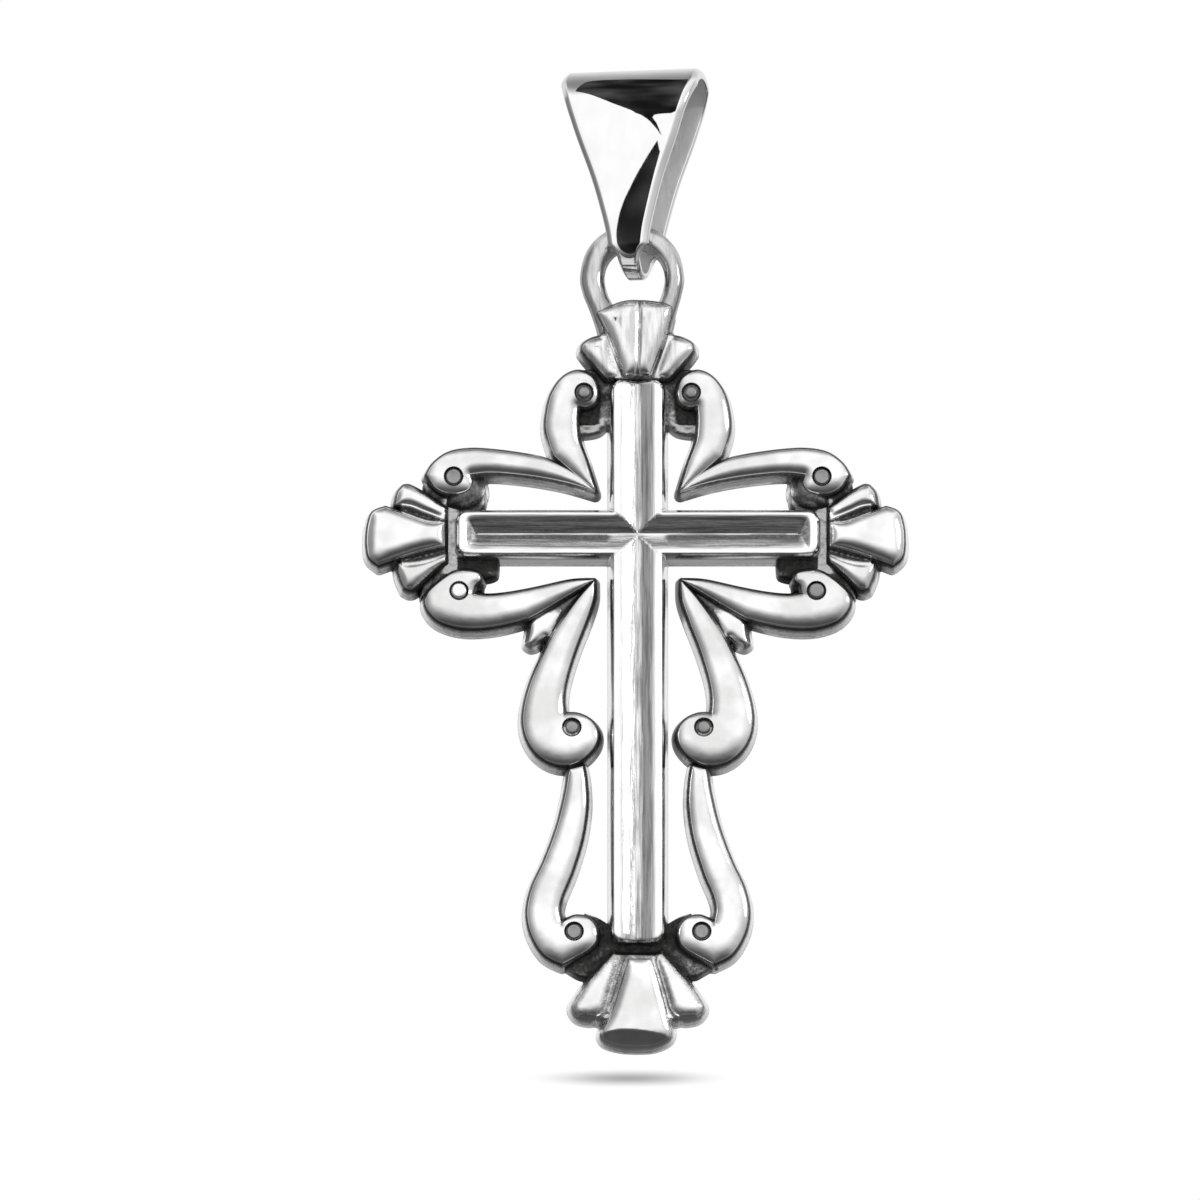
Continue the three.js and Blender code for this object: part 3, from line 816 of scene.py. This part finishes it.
def eye_loop():
    """The eye's wire, through pairs of an outer and an inner point from foot to foot."""
    left = [[(-1.70, 8.6), (-0.9, 8.6)], [(-1.88, 9.4), (-0.95, 9.4)],
            [(-2.15, 10.2), (-1.05, 10.3)], [(-2.45, 10.95), (-1.33, 10.95)]]
    right = [[(1.98, 10.95), (1.08, 10.95)], [(1.76, 10.15), (0.85, 10.3)],
             [(1.58, 9.4), (0.75, 9.4)], [(1.48, 8.6), (0.7, 8.6)]]
    arc = [[on_oval(EYE_OUTER, turn), on_oval(EYE_INNER, turn)]
           for turn in np.radians([180, 150, 120, 90, 60, 30, 0])]
    pairs = np.array(left + arc + right)
    t = np.linspace(0, len(pairs) - 1, EYE_STEPS)
    outer, inner = catmull(pairs[:, 0], t), catmull(pairs[:, 1], t)
    sections = []
    for o, n in zip(outer, inner):
        section = []
        for turn in np.arange(EYE_SIDES) * 2 * math.pi / EYE_SIDES:
            across = 0.5 - 0.5 * math.cos(turn)
            x, z = o * (1 - across) + n * across
            section.append([x, -EYE_WIRE * math.sin(turn), z])
        sections.append(section)
    return tube(sections, capped=True)


BAIL_X, BAIL_TURN = -0.1, math.radians(-13)
BAIL_THICK = 0.5
BAIL_FACE, BAIL_BACK = 17, 11            # points across the strip's outer and inner face
BAIL_SIDES = 6 * 4 + BAIL_FACE + BAIL_BACK   # all round its section, with its six soft corners
BAIL_STEP, BAIL_ROUND, BAIL_SKIN = 0.12, 0.06, 0.02
BAIL_TOP, BAIL_TOP_R = 19.04, 2.1        # height and radius of the bends
BAIL_LOW, BAIL_LOW_R = 13.23, 1.8
BAIL_LEAN = math.asin((BAIL_TOP_R - BAIL_LOW_R) / (BAIL_TOP - BAIL_LOW))
BAIL_TIP = [0.4, 10.9]
BAIL_EDGE = [
    [[3.12, 20.55], [2.38, 18.15], [1.62, 16.0], [1.08, 14.0], [0.92, 13.0]],
    [[0.92, 13.0], [0.66, 12.72], [0.5, 12.35], [0.45, 11.8]],
    [[0.45, 11.8], BAIL_TIP],
]


def soften(corners, radius):
    """A closed section with each corner turned into four points."""
    out = []
    for k, here in enumerate(corners):
        before, after = corners[k - 1], corners[(k + 1) % len(corners)]
        a, b = before - here, after - here
        a = a / np.linalg.norm(a) * min(radius, 0.45 * np.linalg.norm(a))
        b = b / np.linalg.norm(b) * min(radius, 0.45 * np.linalg.norm(b))
        out += [here + a * (1 - t)**2 + b * t**2 for t in (0, 0.33, 0.67, 1)]
    return out


def bail():
    """The strip's section, swept round the top bend, down the back and round the low bend."""
    edge = np.concatenate([spline(s, 0.05) for s in BAIL_EDGE] + [[BAIL_TIP]])[::-1]
    front, back = -BAIL_LEAN, math.pi + BAIL_LEAN
    path = []
    for start, end, steps, z, radius in ((front, back, 90, BAIL_TOP, BAIL_TOP_R),
                                         (back, 2 * math.pi + front, 70, BAIL_LOW, BAIL_LOW_R)):
        path += [(radius * math.cos(turn), z + radius * math.sin(turn), turn)
                 for turn in np.linspace(start, end, steps)]
    full = []
    for k, (y, z, turn) in enumerate(path):
        y2, z2, _ = path[(k + 1) % len(path)]
        steps = max(1, round(math.hypot(y2 - y, z2 - z) / BAIL_STEP))
        full += [(y + (y2 - y) * s / steps, z + (z2 - z) * s / steps, turn) for s in range(steps)]
    sections = []
    for y, z, turn in full:
        w = float(np.interp(z, edge[:, 1], edge[:, 0]))
        chamfer = min(0.24, 0.3 * w)
        thin = 0.2 * min(max((12.2 - z) / 0.7, 0), 1)
        skin = thin + BAIL_SKIN
        corners = [np.array(c) for c in [(-w, BAIL_THICK), (-w, thin + 0.17), (chamfer - w, skin),
                                         (w - chamfer, skin), (w, thin + 0.17), (w, BAIL_THICK)]]
        soft = soften(corners, BAIL_ROUND)
        outer_run = [(x, skin) for x in np.linspace(-0.9, 0.9, BAIL_FACE) * (w - chamfer)]
        inner_run = [(x, BAIL_THICK) for x in np.linspace(0.9, -0.9, BAIL_BACK) * w]
        section = []
        for x, depth in soft[:12] + outer_run + soft[12:] + inner_run:
            if depth < thin + 0.1:
                depth = depth - BAIL_SKIN + 0.004 * (x / w)**2
            section.append([x, y - math.cos(turn) * depth, z - math.sin(turn) * depth])
        sections.append(section)
    verts, faces = tube(sections, capped=False)
    c, s = math.cos(BAIL_TURN), math.sin(BAIL_TURN)
    x, y = verts[:, 0].copy(), verts[:, 1].copy()
    verts[:, 0], verts[:, 1] = c * x - s * y + BAIL_X, s * x + c * y
    return verts, faces


# ------------------------------------------------------------------ materials
class Graph:
    """Short hand for building a node tree."""

    def __init__(self, tree):
        self.tree = tree

    def add(self, kind, inputs=(), out=0, **settings):
        node = self.tree.nodes.new(kind)
        for key, value in settings.items():
            setattr(node, key, value)
        for key, value in dict(inputs).items():
            socket = node.inputs[key]
            if isinstance(value, bpy.types.NodeSocket):
                self.tree.links.new(value, socket)
            else:
                socket.default_value = value
        return node.outputs[out] if len(node.outputs) else None

    def math(self, operation, a, b=0.0):
        return self.add("ShaderNodeMath", {0: a, 1: b}, operation=operation)

    def plus(self, a, b):
        return self.math("ADD", a, b)

    def times(self, a, b):
        return self.math("MULTIPLY", a, b)

    def remap(self, value, low, high, to_low=0.0, to_high=1.0, smooth=True):
        return self.add("ShaderNodeMapRange",
                        {"Value": value, "From Min": low, "From Max": high,
                         "To Min": to_low, "To Max": to_high},
                        interpolation_type="SMOOTHSTEP" if smooth else "LINEAR")

    def noise(self, where, scale, detail, rough=0.55):
        return self.add("ShaderNodeTexNoise", {"Vector": where, "Scale": scale, "Detail": detail,
                                               "Roughness": rough})

    def mix(self, share, a, b):
        return self.add("ShaderNodeMix", {0: share, 6: a, 7: b}, out=2, data_type="RGBA")


def graph_of(owner):
    """A material's or world's node tree, emptied."""
    owner.use_nodes = True
    owner.node_tree.nodes.clear()
    return Graph(owner.node_tree)


def grey(value, warm=0.0):
    return (value + warm, value, value - warm, 1.0)


def tone(shown):
    """The grey that is displayed at this level."""
    return grey(shown**2.2)


def silver(name, bright=0.93, darkened_level=0.14, rough=0.09, recess_darkening=1.0, streak=(1, 1, 1), wobble=1.0,
           floor=0.0, turned=False, drag=0.16, streaky=0.12, cloudy=0.06):
    """Cast silver: polished where it stands proud, darkened and matt down in the recesses, where the
    darkening is patina and painted shade. streak stretches the polishing marks; floor is how much
    patina and painted shade even the open surface gets; cloudy is how much duller the silver gets
    in wide soft patches."""
    material = bpy.data.materials.new(name)
    g = graph_of(material)
    place = g.add("ShaderNodeTexCoord", out=3)
    mm = g.add("ShaderNodeMapping", {"Vector": place, "Scale": (1000, 1000, 1000)})
    drawn = g.add("ShaderNodeMapping",
                  {"Vector": place, "Scale": tuple(1000 * s for s in streak)})
    if turned:
        sideways = g.add("ShaderNodeAttribute", attribute_name="sideways", out=2)
        across = g.add("ShaderNodeMapping",
                       {"Vector": place, "Scale": tuple(1000 * s for s in streak[::-1])})
        drawn = g.mix(sideways, drawn, across)
    recess = g.add("ShaderNodeAttribute", attribute_name="recess", out=2)
    cloud = g.noise(mm, 0.55, 2.0)
    speck = g.noise(mm, 7.0, 5.0, 0.7)
    marks = g.noise(drawn, 3.0, 4.0, 0.6)
    hair = g.noise(drawn, 14.0, 3.0, 0.6)

    # Patina and painted shade: the recess attribute, scaled, and the floor pull the colour towards a
    # dark grey.
    patina_and_shade = g.plus(g.times(recess, recess_darkening), floor)
    for pattern, strength in ((speck, 0.55), (marks, 0.35)):
        patina_and_shade = g.plus(patina_and_shade, g.times(g.math("SUBTRACT", pattern, 0.5), strength))
    dark = g.remap(patina_and_shade, 0.36, 0.86)
    tint = g.remap(cloud, 0.3, 0.7)
    bright_colour = g.mix(tint, grey(bright * (1 - cloudy), 0.002), grey(bright))
    lines = g.times(g.remap(marks, 0.4, 0.64), streaky)
    if turned:
        carved = g.add("ShaderNodeAttribute", attribute_name="carved", out=2)
        lines = g.times(lines, g.remap(carved, 0.02, 0.2, 0.12, 1.0))
    bright_colour = g.mix(lines, bright_colour, grey(bright * 0.25))
    darkened_grey = g.mix(g.remap(speck, 0.35, 0.65), grey(darkened_level * 0.65), grey(darkened_level * 1.4, 0.002))
    colour = g.mix(dark, bright_colour, darkened_grey)

    shine = g.remap(hair, 0.3, 0.75, rough * 0.7, rough * 1.5)
    shine = g.plus(shine, g.times(dark, 0.3))
    skin = g.plus(g.times(g.noise(mm, 1.3, 1.0), 0.9 * wobble), g.times(marks, drag))
    skin = g.plus(skin, g.times(g.times(speck, dark), 0.8))
    bump = g.add("ShaderNodeBump", {"Height": skin, "Distance": 0.04 * MM, "Strength": 0.6})
    shader = g.add("ShaderNodeBsdfPrincipled",
                   {"Base Color": colour, "Roughness": shine, "Normal": bump, "Metallic": 1.0})
    g.add("ShaderNodeOutputMaterial", {"Surface": shader})
    return material


CAST = silver("cast_silver_polished", wobble=0.6, streaky=0.04, cloudy=0.24)
SATIN = silver("cast_silver_satin", bright=0.64, rough=0.12, streak=(1, 1, 0.15), drag=0.5,
               streaky=0.45, wobble=0.5)
UPRIGHT_DRAWN = silver("bar_silver_brushed", streak=(2, 2, 0.13), wobble=0.3, turned=True, drag=0.5,
                       streaky=0.6)
BAIL_SILVER = silver("bail_silver_mirror", bright=0.86, rough=0.03, streak=(1, 1, 0.1), wobble=0.04,
                     recess_darkening=0.1, drag=0.01, streaky=0.01)
BAIL_INSIDE = silver("bail_silver_inside", bright=1.0, rough=0.5, streak=(1, 1, 0.1), wobble=0.2,
                     recess_darkening=0.0, streaky=0.06)
# The sunken webs' silver is darker: patina and painted shade of their recesses.
DARKENED = silver("recess_silver_darkened", bright=0.5, darkened_level=0.05, rough=0.3, floor=0.2)
FAN_TOP = silver("fan_silver_satin", bright=0.86, rough=0.14, streak=(1, 1, 0.15), drag=0.5,
                 streaky=0.4, wobble=0.5)
# Dark and bright copies of the beads' silver: painted shade and a painted highlight.
BEAD_DARK = silver("bead_silver_darkened", bright=0.34, darkened_level=0.08, rough=0.35, floor=0.25)
BEAD_BRIGHT = silver("bead_silver_bright", rough=0.12)


# ------------------------------------------------------------------ assembly
def lay_of_marks(obj):
    """Marks the arms, where the drawing marks run sideways instead of along the upright."""
    x, _, z = np.abs((vectors(obj.data.vertices, "co") - ORIGIN) / MM).T
    across = x / UPRIGHT_MOUTH > np.maximum(z / ARM_MOUTH, 1e-6)
    store(obj.data, "sideways", across & (z < 1.2))
    store(obj.data, "carved", groove(np.stack([x, z], axis=1)) / GROOVE)


# The bar's painted shade: a dark line under its edges and grey lower flanks in the arms' groove.
bars = piece("bar_cross", bar_cross(), UPRIGHT_DRAWN, crease=30,
             patina_and_shade=lambda v: walled(-0.75, 0.45, 0.0)(v) - valleys(v) + flank_painted_shade(v))
lay_of_marks(bars)
for place in ("top", "left", "right", "bottom"):
    piece("fan_" + place, relief(fan_slabs(place)), FAN_TOP if place == "top" else CAST,
          patina_and_shade=fan_painted_shade(place), sunk=0.012)
SUNK = {"top": 0.024, "upper_arm": 0.036, "lower_arm": 0.024, "middle": 0.036, "lower": 0.024}
for place, plan in SCROLLS.items():
    surface = scroll(plan)
    stud = bead(place)
    for side, turned in (("left", lambda s: s), ("right", flipped)):
        # Painted shade on the scrolls' walls under the edge and round their inner tips.
        piece(f"scroll_{place}_{side}", turned(surface), CAST, sunk=SUNK[place],
              patina_and_shade=lambda v: walled(SCROLL_FRONT + 0.28, 0.8, 0.32)(v) + tip_painted_shade(v))
        # The lower arm's left bead gets the bright copy, a painted highlight; the others painted
        # shade.
        finish_and_shade = BEAD_BRIGHT if (place, side) == ("lower_arm", "left") else BEAD_DARK
        piece(f"volute_bead_{place}_{side}", turned(stud), finish_and_shade, slot="darkened_silver")
# The leaf and the webs with their painted shade; the webs' darker silver is patina and painted
# shade.
for name, surface, finish_and_shade, slot, patina_and_shade, sunk in (
        ("leaf", leaf(), CAST, "cast_silver", leaf_painted_shade, 0.048),
        ("web_top", web(TOP_WEB), DARKENED, "darkened_silver", hollow_painted_shade, 0.06),
        ("web_arm", web(SIDE_WEB), DARKENED, "darkened_silver", arm_web_painted_shade, 0.06)):
    piece(name + "_left", surface, finish_and_shade, slot=slot, patina_and_shade=patina_and_shade, sunk=sunk)
    piece(name + "_right", flipped(surface), finish_and_shade, slot=slot, patina_and_shade=patina_and_shade, sunk=sunk)
# The bottom web is darker all over: patina and painted shade of its recess.
piece("web_bottom", web(BOTTOM_WEB), DARKENED, slot="darkened_silver", sunk=0.06,
      patina_and_shade=lambda v: np.full(len(v), 0.3))
# Painted shade over the eye loop's wire, all but its front.
piece("eye_loop", eye_loop(), SATIN, crease=50,
      patina_and_shade=lambda v: 0.75 * np.clip((v[:, 1] + 0.24) / 0.2, 0, 1))
strip = piece("bail", bail(), BAIL_SILVER, body="bail", slot="bail_silver", crease=50)
strip.data.materials.append(BAIL_INSIDE)
strip.data.polygons.foreach_set("material_index", [
    int(k % BAIL_SIDES >= BAIL_SIDES - BAIL_BACK - 1) for k in range(len(strip.data.polygons))])


GOLDEN_TURN = 2.39996   # the angle that spreads rays evenly, in radians


def shade_recesses(pieces, reach=0.9, rays=16):
    """Stores on every vertex how far its neighbours close it in: 0 open, 1 deep in a recess."""
    turns = np.arange(rays) * GOLDEN_TURN
    up = np.sqrt((np.arange(rays) + 0.5) / rays)
    out = np.sqrt(1 - up**2)
    spread = np.stack([out * np.cos(turns), out * np.sin(turns), up], axis=1)
    verts, faces = [], []
    data = []
    for obj, patina_and_shade in pieces:
        mesh = obj.data
        co = vectors(mesh.vertices, "co") / MM
        data.append((mesh, co, vectors(mesh.vertex_normals, "vector"), patina_and_shade))
        start = len(verts)
        verts += co.tolist()
        faces += [[start + v for v in p.vertices] for p in mesh.polygons]
    tree = BVHTree.FromPolygons(verts, faces)
    for mesh, co, normal, patina_and_shade in data:
        side = np.cross(normal, [0.31, 0.11, 0.94])
        side /= np.linalg.norm(side, axis=1)[:, None] + 1e-12
        other = np.cross(normal, side)
        shut = np.zeros(len(co))
        for k in range(rays):
            way = side * spread[k, 0] + other * spread[k, 1] + normal * spread[k, 2]
            begin = co + normal * 0.02
            for i, (p, d) in enumerate(zip(begin.tolist(), way.tolist())):
                if tree.ray_cast(p, d, reach)[0] is not None:
                    shut[i] += 1 / rays
        ends = np.empty(len(mesh.edges) * 2, int)
        mesh.edges.foreach_get("vertices", ends)
        a, b = ends.reshape(-1, 2).T
        for _ in range(2):
            total = np.bincount(a, shut[b], len(co)) + np.bincount(b, shut[a], len(co))
            count = np.bincount(a, minlength=len(co)) + np.bincount(b, minlength=len(co))
            shut = 0.5 * shut + 0.5 * total / np.maximum(count, 1)
        # The recess attribute: how closed in, plus the piece's painted marks; the silver darkens
        # with it, as patina and painted shade.
        store(mesh, "recess", shut + patina_and_shade)


shade_recesses(made, rays=16)

# ------------------------------------------------------------------ stage, light and camera
scene = bpy.context.scene
scene.view_settings.view_transform = "Standard"
scene.cycles.glossy_bounces = 12


def at(x, y, z):
    return Vector(np.array([x, y, z]) * MM + ORIGIN)


def world_light():
    world = bpy.data.worlds.new("studio")
    scene.world = world
    g = graph_of(world)
    way = g.add("ShaderNodeTexCoord")
    x, y, z = g.add("ShaderNodeSeparateXYZ", {0: way}).node.outputs

    def ramp(value, stops):
        colour = g.add("ShaderNodeValToRGB", {0: value})
        elements = colour.node.color_ramp.elements
        while len(elements) < len(stops):
            elements.new(0.5)
        for element, (position, level) in zip(elements, stops):
            element.position = position
            element.color = tone(level)
        return colour

    height = g.remap(z, -1, 1, smooth=False)
    front = ramp(height, [(0.0, 0.3), (0.05, 0.27), (0.085, 0.42), (0.13, 0.27), (0.2, 0.34),
                          (0.3, 0.55), (0.4, 0.82),
                          (0.5, 1.0), (0.89, 1.0), (0.94, 0.8), (0.975, 0.56), (1.0, 0.5)])
    behind = ramp(height, [(0.0, 0.3), (0.2, 0.35), (0.3, 0.42), (0.45, 0.72), (0.56, 0.88),
                           (0.8, 0.85), (0.9, 0.75), (1.0, 0.52)])
    rear = g.remap(y, 0.0, 0.5)
    light = g.mix(rear, front, behind)
    walls = (   # where each lies across and front to back, how much it covers, its level
        (x, (-0.42, -0.9), (0.5, -0.1), 0.9, 0.48),                      # grey left
        (x, (0.4, 0.95), (0.5, -0.1), 0.8, 0.72),                        # pale right
        (g.math("ABSOLUTE", x), (0.9, 0.96), (-0.12, 0.1), 0.6, 0.22),   # dark flags, both sides
    )
    for across, wide, deep, cover, level in walls:
        wall = g.times(g.remap(across, *wide), g.remap(y, *deep))
        light = g.mix(g.times(wall, cover), light, tone(level))
    seen = g.add("ShaderNodeLightPath")
    glow = g.add("ShaderNodeBackground", {"Color": light, "Strength": 1.17})
    paper = g.add("ShaderNodeBackground", {"Color": grey(1.0), "Strength": 1.0})
    both = g.add("ShaderNodeMixShader", {0: seen, 1: glow, 2: paper})
    g.add("ShaderNodeOutputWorld", {"Surface": both})


world_light()

CORNERS = ((-1, -1, 0), (1, -1, 0), (1, 1, 0), (-1, 1, 0))
FLOOR_HALF, FLOOR_DOWN = 1.6, 130      # metres, and mm below the cross's middle
pale = bpy.data.materials.new("pale_floor")
pale.use_nodes = True
paint = pale.node_tree.nodes["Principled BSDF"].inputs
paint["Base Color"].default_value = grey(0.86)
paint["Roughness"].default_value = 0.9
floor = new_object("floor", [np.multiply(c, FLOOR_HALF) for c in CORNERS], [(0, 1, 2, 3)], pale)
floor.location = at(0, 0, -FLOOR_DOWN)
floor.visible_glossy = False


def lamp(name, where, aim, size, power):
    """A round soft light."""
    data = bpy.data.lights.new(name, "AREA")
    data.shape = "DISK"
    data.size = size
    data.energy = power
    obj = bpy.data.objects.new(name, data)
    scene.collection.objects.link(obj)
    obj.location = where
    obj.rotation_euler = (aim - where).to_track_quat("-Z", "Y").to_euler()
    return obj


lamp("softbox_left", at(-260, -240, 180), at(0, 0, 0), 0.16, 0.12).visible_glossy = False
lamp("softbox_right", at(285, -180, 70), at(0, 0, 0), 0.12, 0.12)

FRAME_WIDTH = 53.7         # what the picture spans at the target
DISTANCE = 700.0
SENSOR = 36
TILT = math.radians(7.5)   # the camera looks up this much
TARGET = np.array([-1.69, -1.0, -3.0])
LOOK = np.array([0, math.cos(TILT), math.sin(TILT)])
UP = np.array([0, -math.sin(TILT), math.cos(TILT)])
EYE = TARGET - LOOK * DISTANCE
camera_data = bpy.data.cameras.new("camera")
camera_data.sensor_width = SENSOR
camera_data.lens = SENSOR * DISTANCE / FRAME_WIDTH
camera_data.clip_start = 0.01
camera_data.clip_end = 5
camera = bpy.data.objects.new("camera", camera_data)
scene.collection.objects.link(camera)
camera.location = at(*EYE)
camera.rotation_euler = (math.pi / 2 + TILT, 0, 0)
scene.camera = camera

# Two black cards, whose reflections draw the dark streak and wedge on the bail's flat front, and
# a pale one for the light on its lowest bend. Each has its darkest and lightest level and its
# outline as it appears in the bail: x and height in the picture, from the cross's middle.
# A card only shows in a mirror that is CARD_AWAY from it, give or take the slack.
CARD_AWAY, CARD_SLACK, CARD_STEP = 4.5, 0.4, 0.15
CARDS = {
    "streak": (0.1, 0.26, [
        [[0.9, 17.75]],
        [[1.02, 17.2], [0.85, 16.2], [0.62, 14.9], [0.35, 13.9], [0.2, 13.1], [0.05, 12.75],
         [-0.3, 12.62], [-0.72, 12.75], [-0.95, 13.1], [-0.98, 13.7], [-0.75, 14.7],
         [-0.25, 15.8], [0.36, 16.9]]]),
    "wedge": (0.12, 0.34, [
        [[-2.81, 19.96], [-2.1, 19.8], [-1.07, 19.4], [-0.05, 19.0], [0.56, 18.6], [0.97, 18.1]],
        [[1.09, 17.96], [0.87, 18.5], [0.77, 18.9]],
        [[2.4, 19.0], [2.7, 19.5], [3.1, 20.4]],
        [[1.5, 20.5], [-0.5, 20.5], [-2.1, 20.42], [-2.6, 20.2]]]),
    "lip": (0.75, 0.95, [[[-1.0, 12.75], [-0.7, 12.5], [-0.3, 12.42], [0.1, 12.55]],
                         [[0.5, 12.9]], [[1.2, 12.9]], [[1.2, 11.55]], [[-1.2, 11.55]]]),
}


def picture_height(v):
    """The height on the picture of a point at this z of the middle plane, from the target."""
    return (v - TARGET[2]) * math.cos(TILT)


def reflected(x, v):
    """Where the camera's ray to a picture point goes on to after the bail's outer face."""
    aim = TARGET + np.array([x - TARGET[0], 0, 0]) + UP * picture_height(v)
    way = aim - EYE
    way /= np.linalg.norm(way)
    c, s = math.cos(BAIL_TURN), math.sin(BAIL_TURN)
    turn = np.array([[c, s, 0], [-s, c, 0], [0, 0, 1]])
    start, way = turn @ (EYE - [BAIL_X, 0, 0]), turn @ way
    normal = np.array([0, -math.cos(BAIL_LEAN), -math.sin(BAIL_LEAN)])
    touch = np.array([0, 0, BAIL_TOP]) + normal * BAIL_TOP_R
    hit = start + way * (normal @ (touch - start)) / (normal @ way)
    for round_z, radius, over in ((BAIL_TOP, BAIL_TOP_R, 1), (BAIL_LOW, BAIL_LOW_R, -1)):
        if over * (hit[2] - round_z - normal[2] * radius) > 0:
            y, z = start[1], start[2] - round_z
            a, b = way[1]**2 + way[2]**2, y * way[1] + z * way[2]
            rest = b * b - a * (y * y + z * z - radius**2)
            hit = start + way * (-b - math.sqrt(max(rest, 0))) / a
            normal = np.array([0, hit[1], hit[2] - round_z]) / radius
            break
    gone = way - 2 * (way @ normal) * normal
    hit, gone = turn.T @ hit + [BAIL_X, 0, 0], turn.T @ gone
    return hit + gone * CARD_AWAY


for name, (darkest, lightest, plan) in CARDS.items():
    cloth = bpy.data.materials.new("card_" + name)
    g = graph_of(cloth)
    mottle = g.remap(g.noise(g.add("ShaderNodeTexCoord", out=3), 250.0, 2.0), 0.35, 0.7)
    glow = g.add("ShaderNodeEmission", {"Color": g.mix(mottle, tone(darkest), tone(lightest))})
    gap = g.math("SUBTRACT", g.add("ShaderNodeLightPath", out="Ray Length"), CARD_AWAY * MM)
    far = g.math("GREATER_THAN", g.math("ABSOLUTE", gap), CARD_SLACK * MM)
    g.add("ShaderNodeOutputMaterial", {"Surface": g.add("ShaderNodeMixShader", {
        0: far, 1: glow, 2: g.add("ShaderNodeBsdfTransparent")})})
    shape, faces = filled(outline(plan, CARD_STEP), CARD_STEP, 0.05)
    points = [at(*reflected(x, v)) for x, v in shape]
    card = new_object("card_" + name, points, faces.tolist(), cloth)
    card.visible_camera = card.visible_diffuse = card.visible_shadow = False

# A painted shadow: a see-through card with the soft patch of shade that the pendant throws
# on the white table under it.
SHADE_AT, SHADE_HALF = (-0.4, 0.0, -24.4), (4.7, 4.6, 1.0)
shade = bpy.data.materials.new("soft_shade")
g = graph_of(shade)
where = g.add("ShaderNodeMapping", {
    "Vector": g.add("ShaderNodeTexCoord", out=3),
    "Location": tuple(-k / h / MM for k, h in zip(at(*SHADE_AT)[:2], SHADE_HALF)) + (0,),
    "Scale": (1 / SHADE_HALF[0] / MM, 1 / SHADE_HALF[1] / MM, 0)})
away = g.add("ShaderNodeVectorMath", {0: where}, out=1, operation="LENGTH")
g.add("ShaderNodeOutputMaterial", {"Surface": g.add("ShaderNodeMixShader", {
    0: g.remap(away, 1.0, 0.0, 0.0, 0.62), 1: g.add("ShaderNodeBsdfTransparent"),
    2: g.add("ShaderNodeEmission", {"Color": tone(0.3)})})})
corners = [at(*np.add(SHADE_AT, np.multiply(c, SHADE_HALF))) for c in CORNERS]
patch = new_object("shade", corners, [(0, 1, 2, 3)], shade)
patch.visible_glossy = patch.visible_diffuse = patch.visible_shadow = False
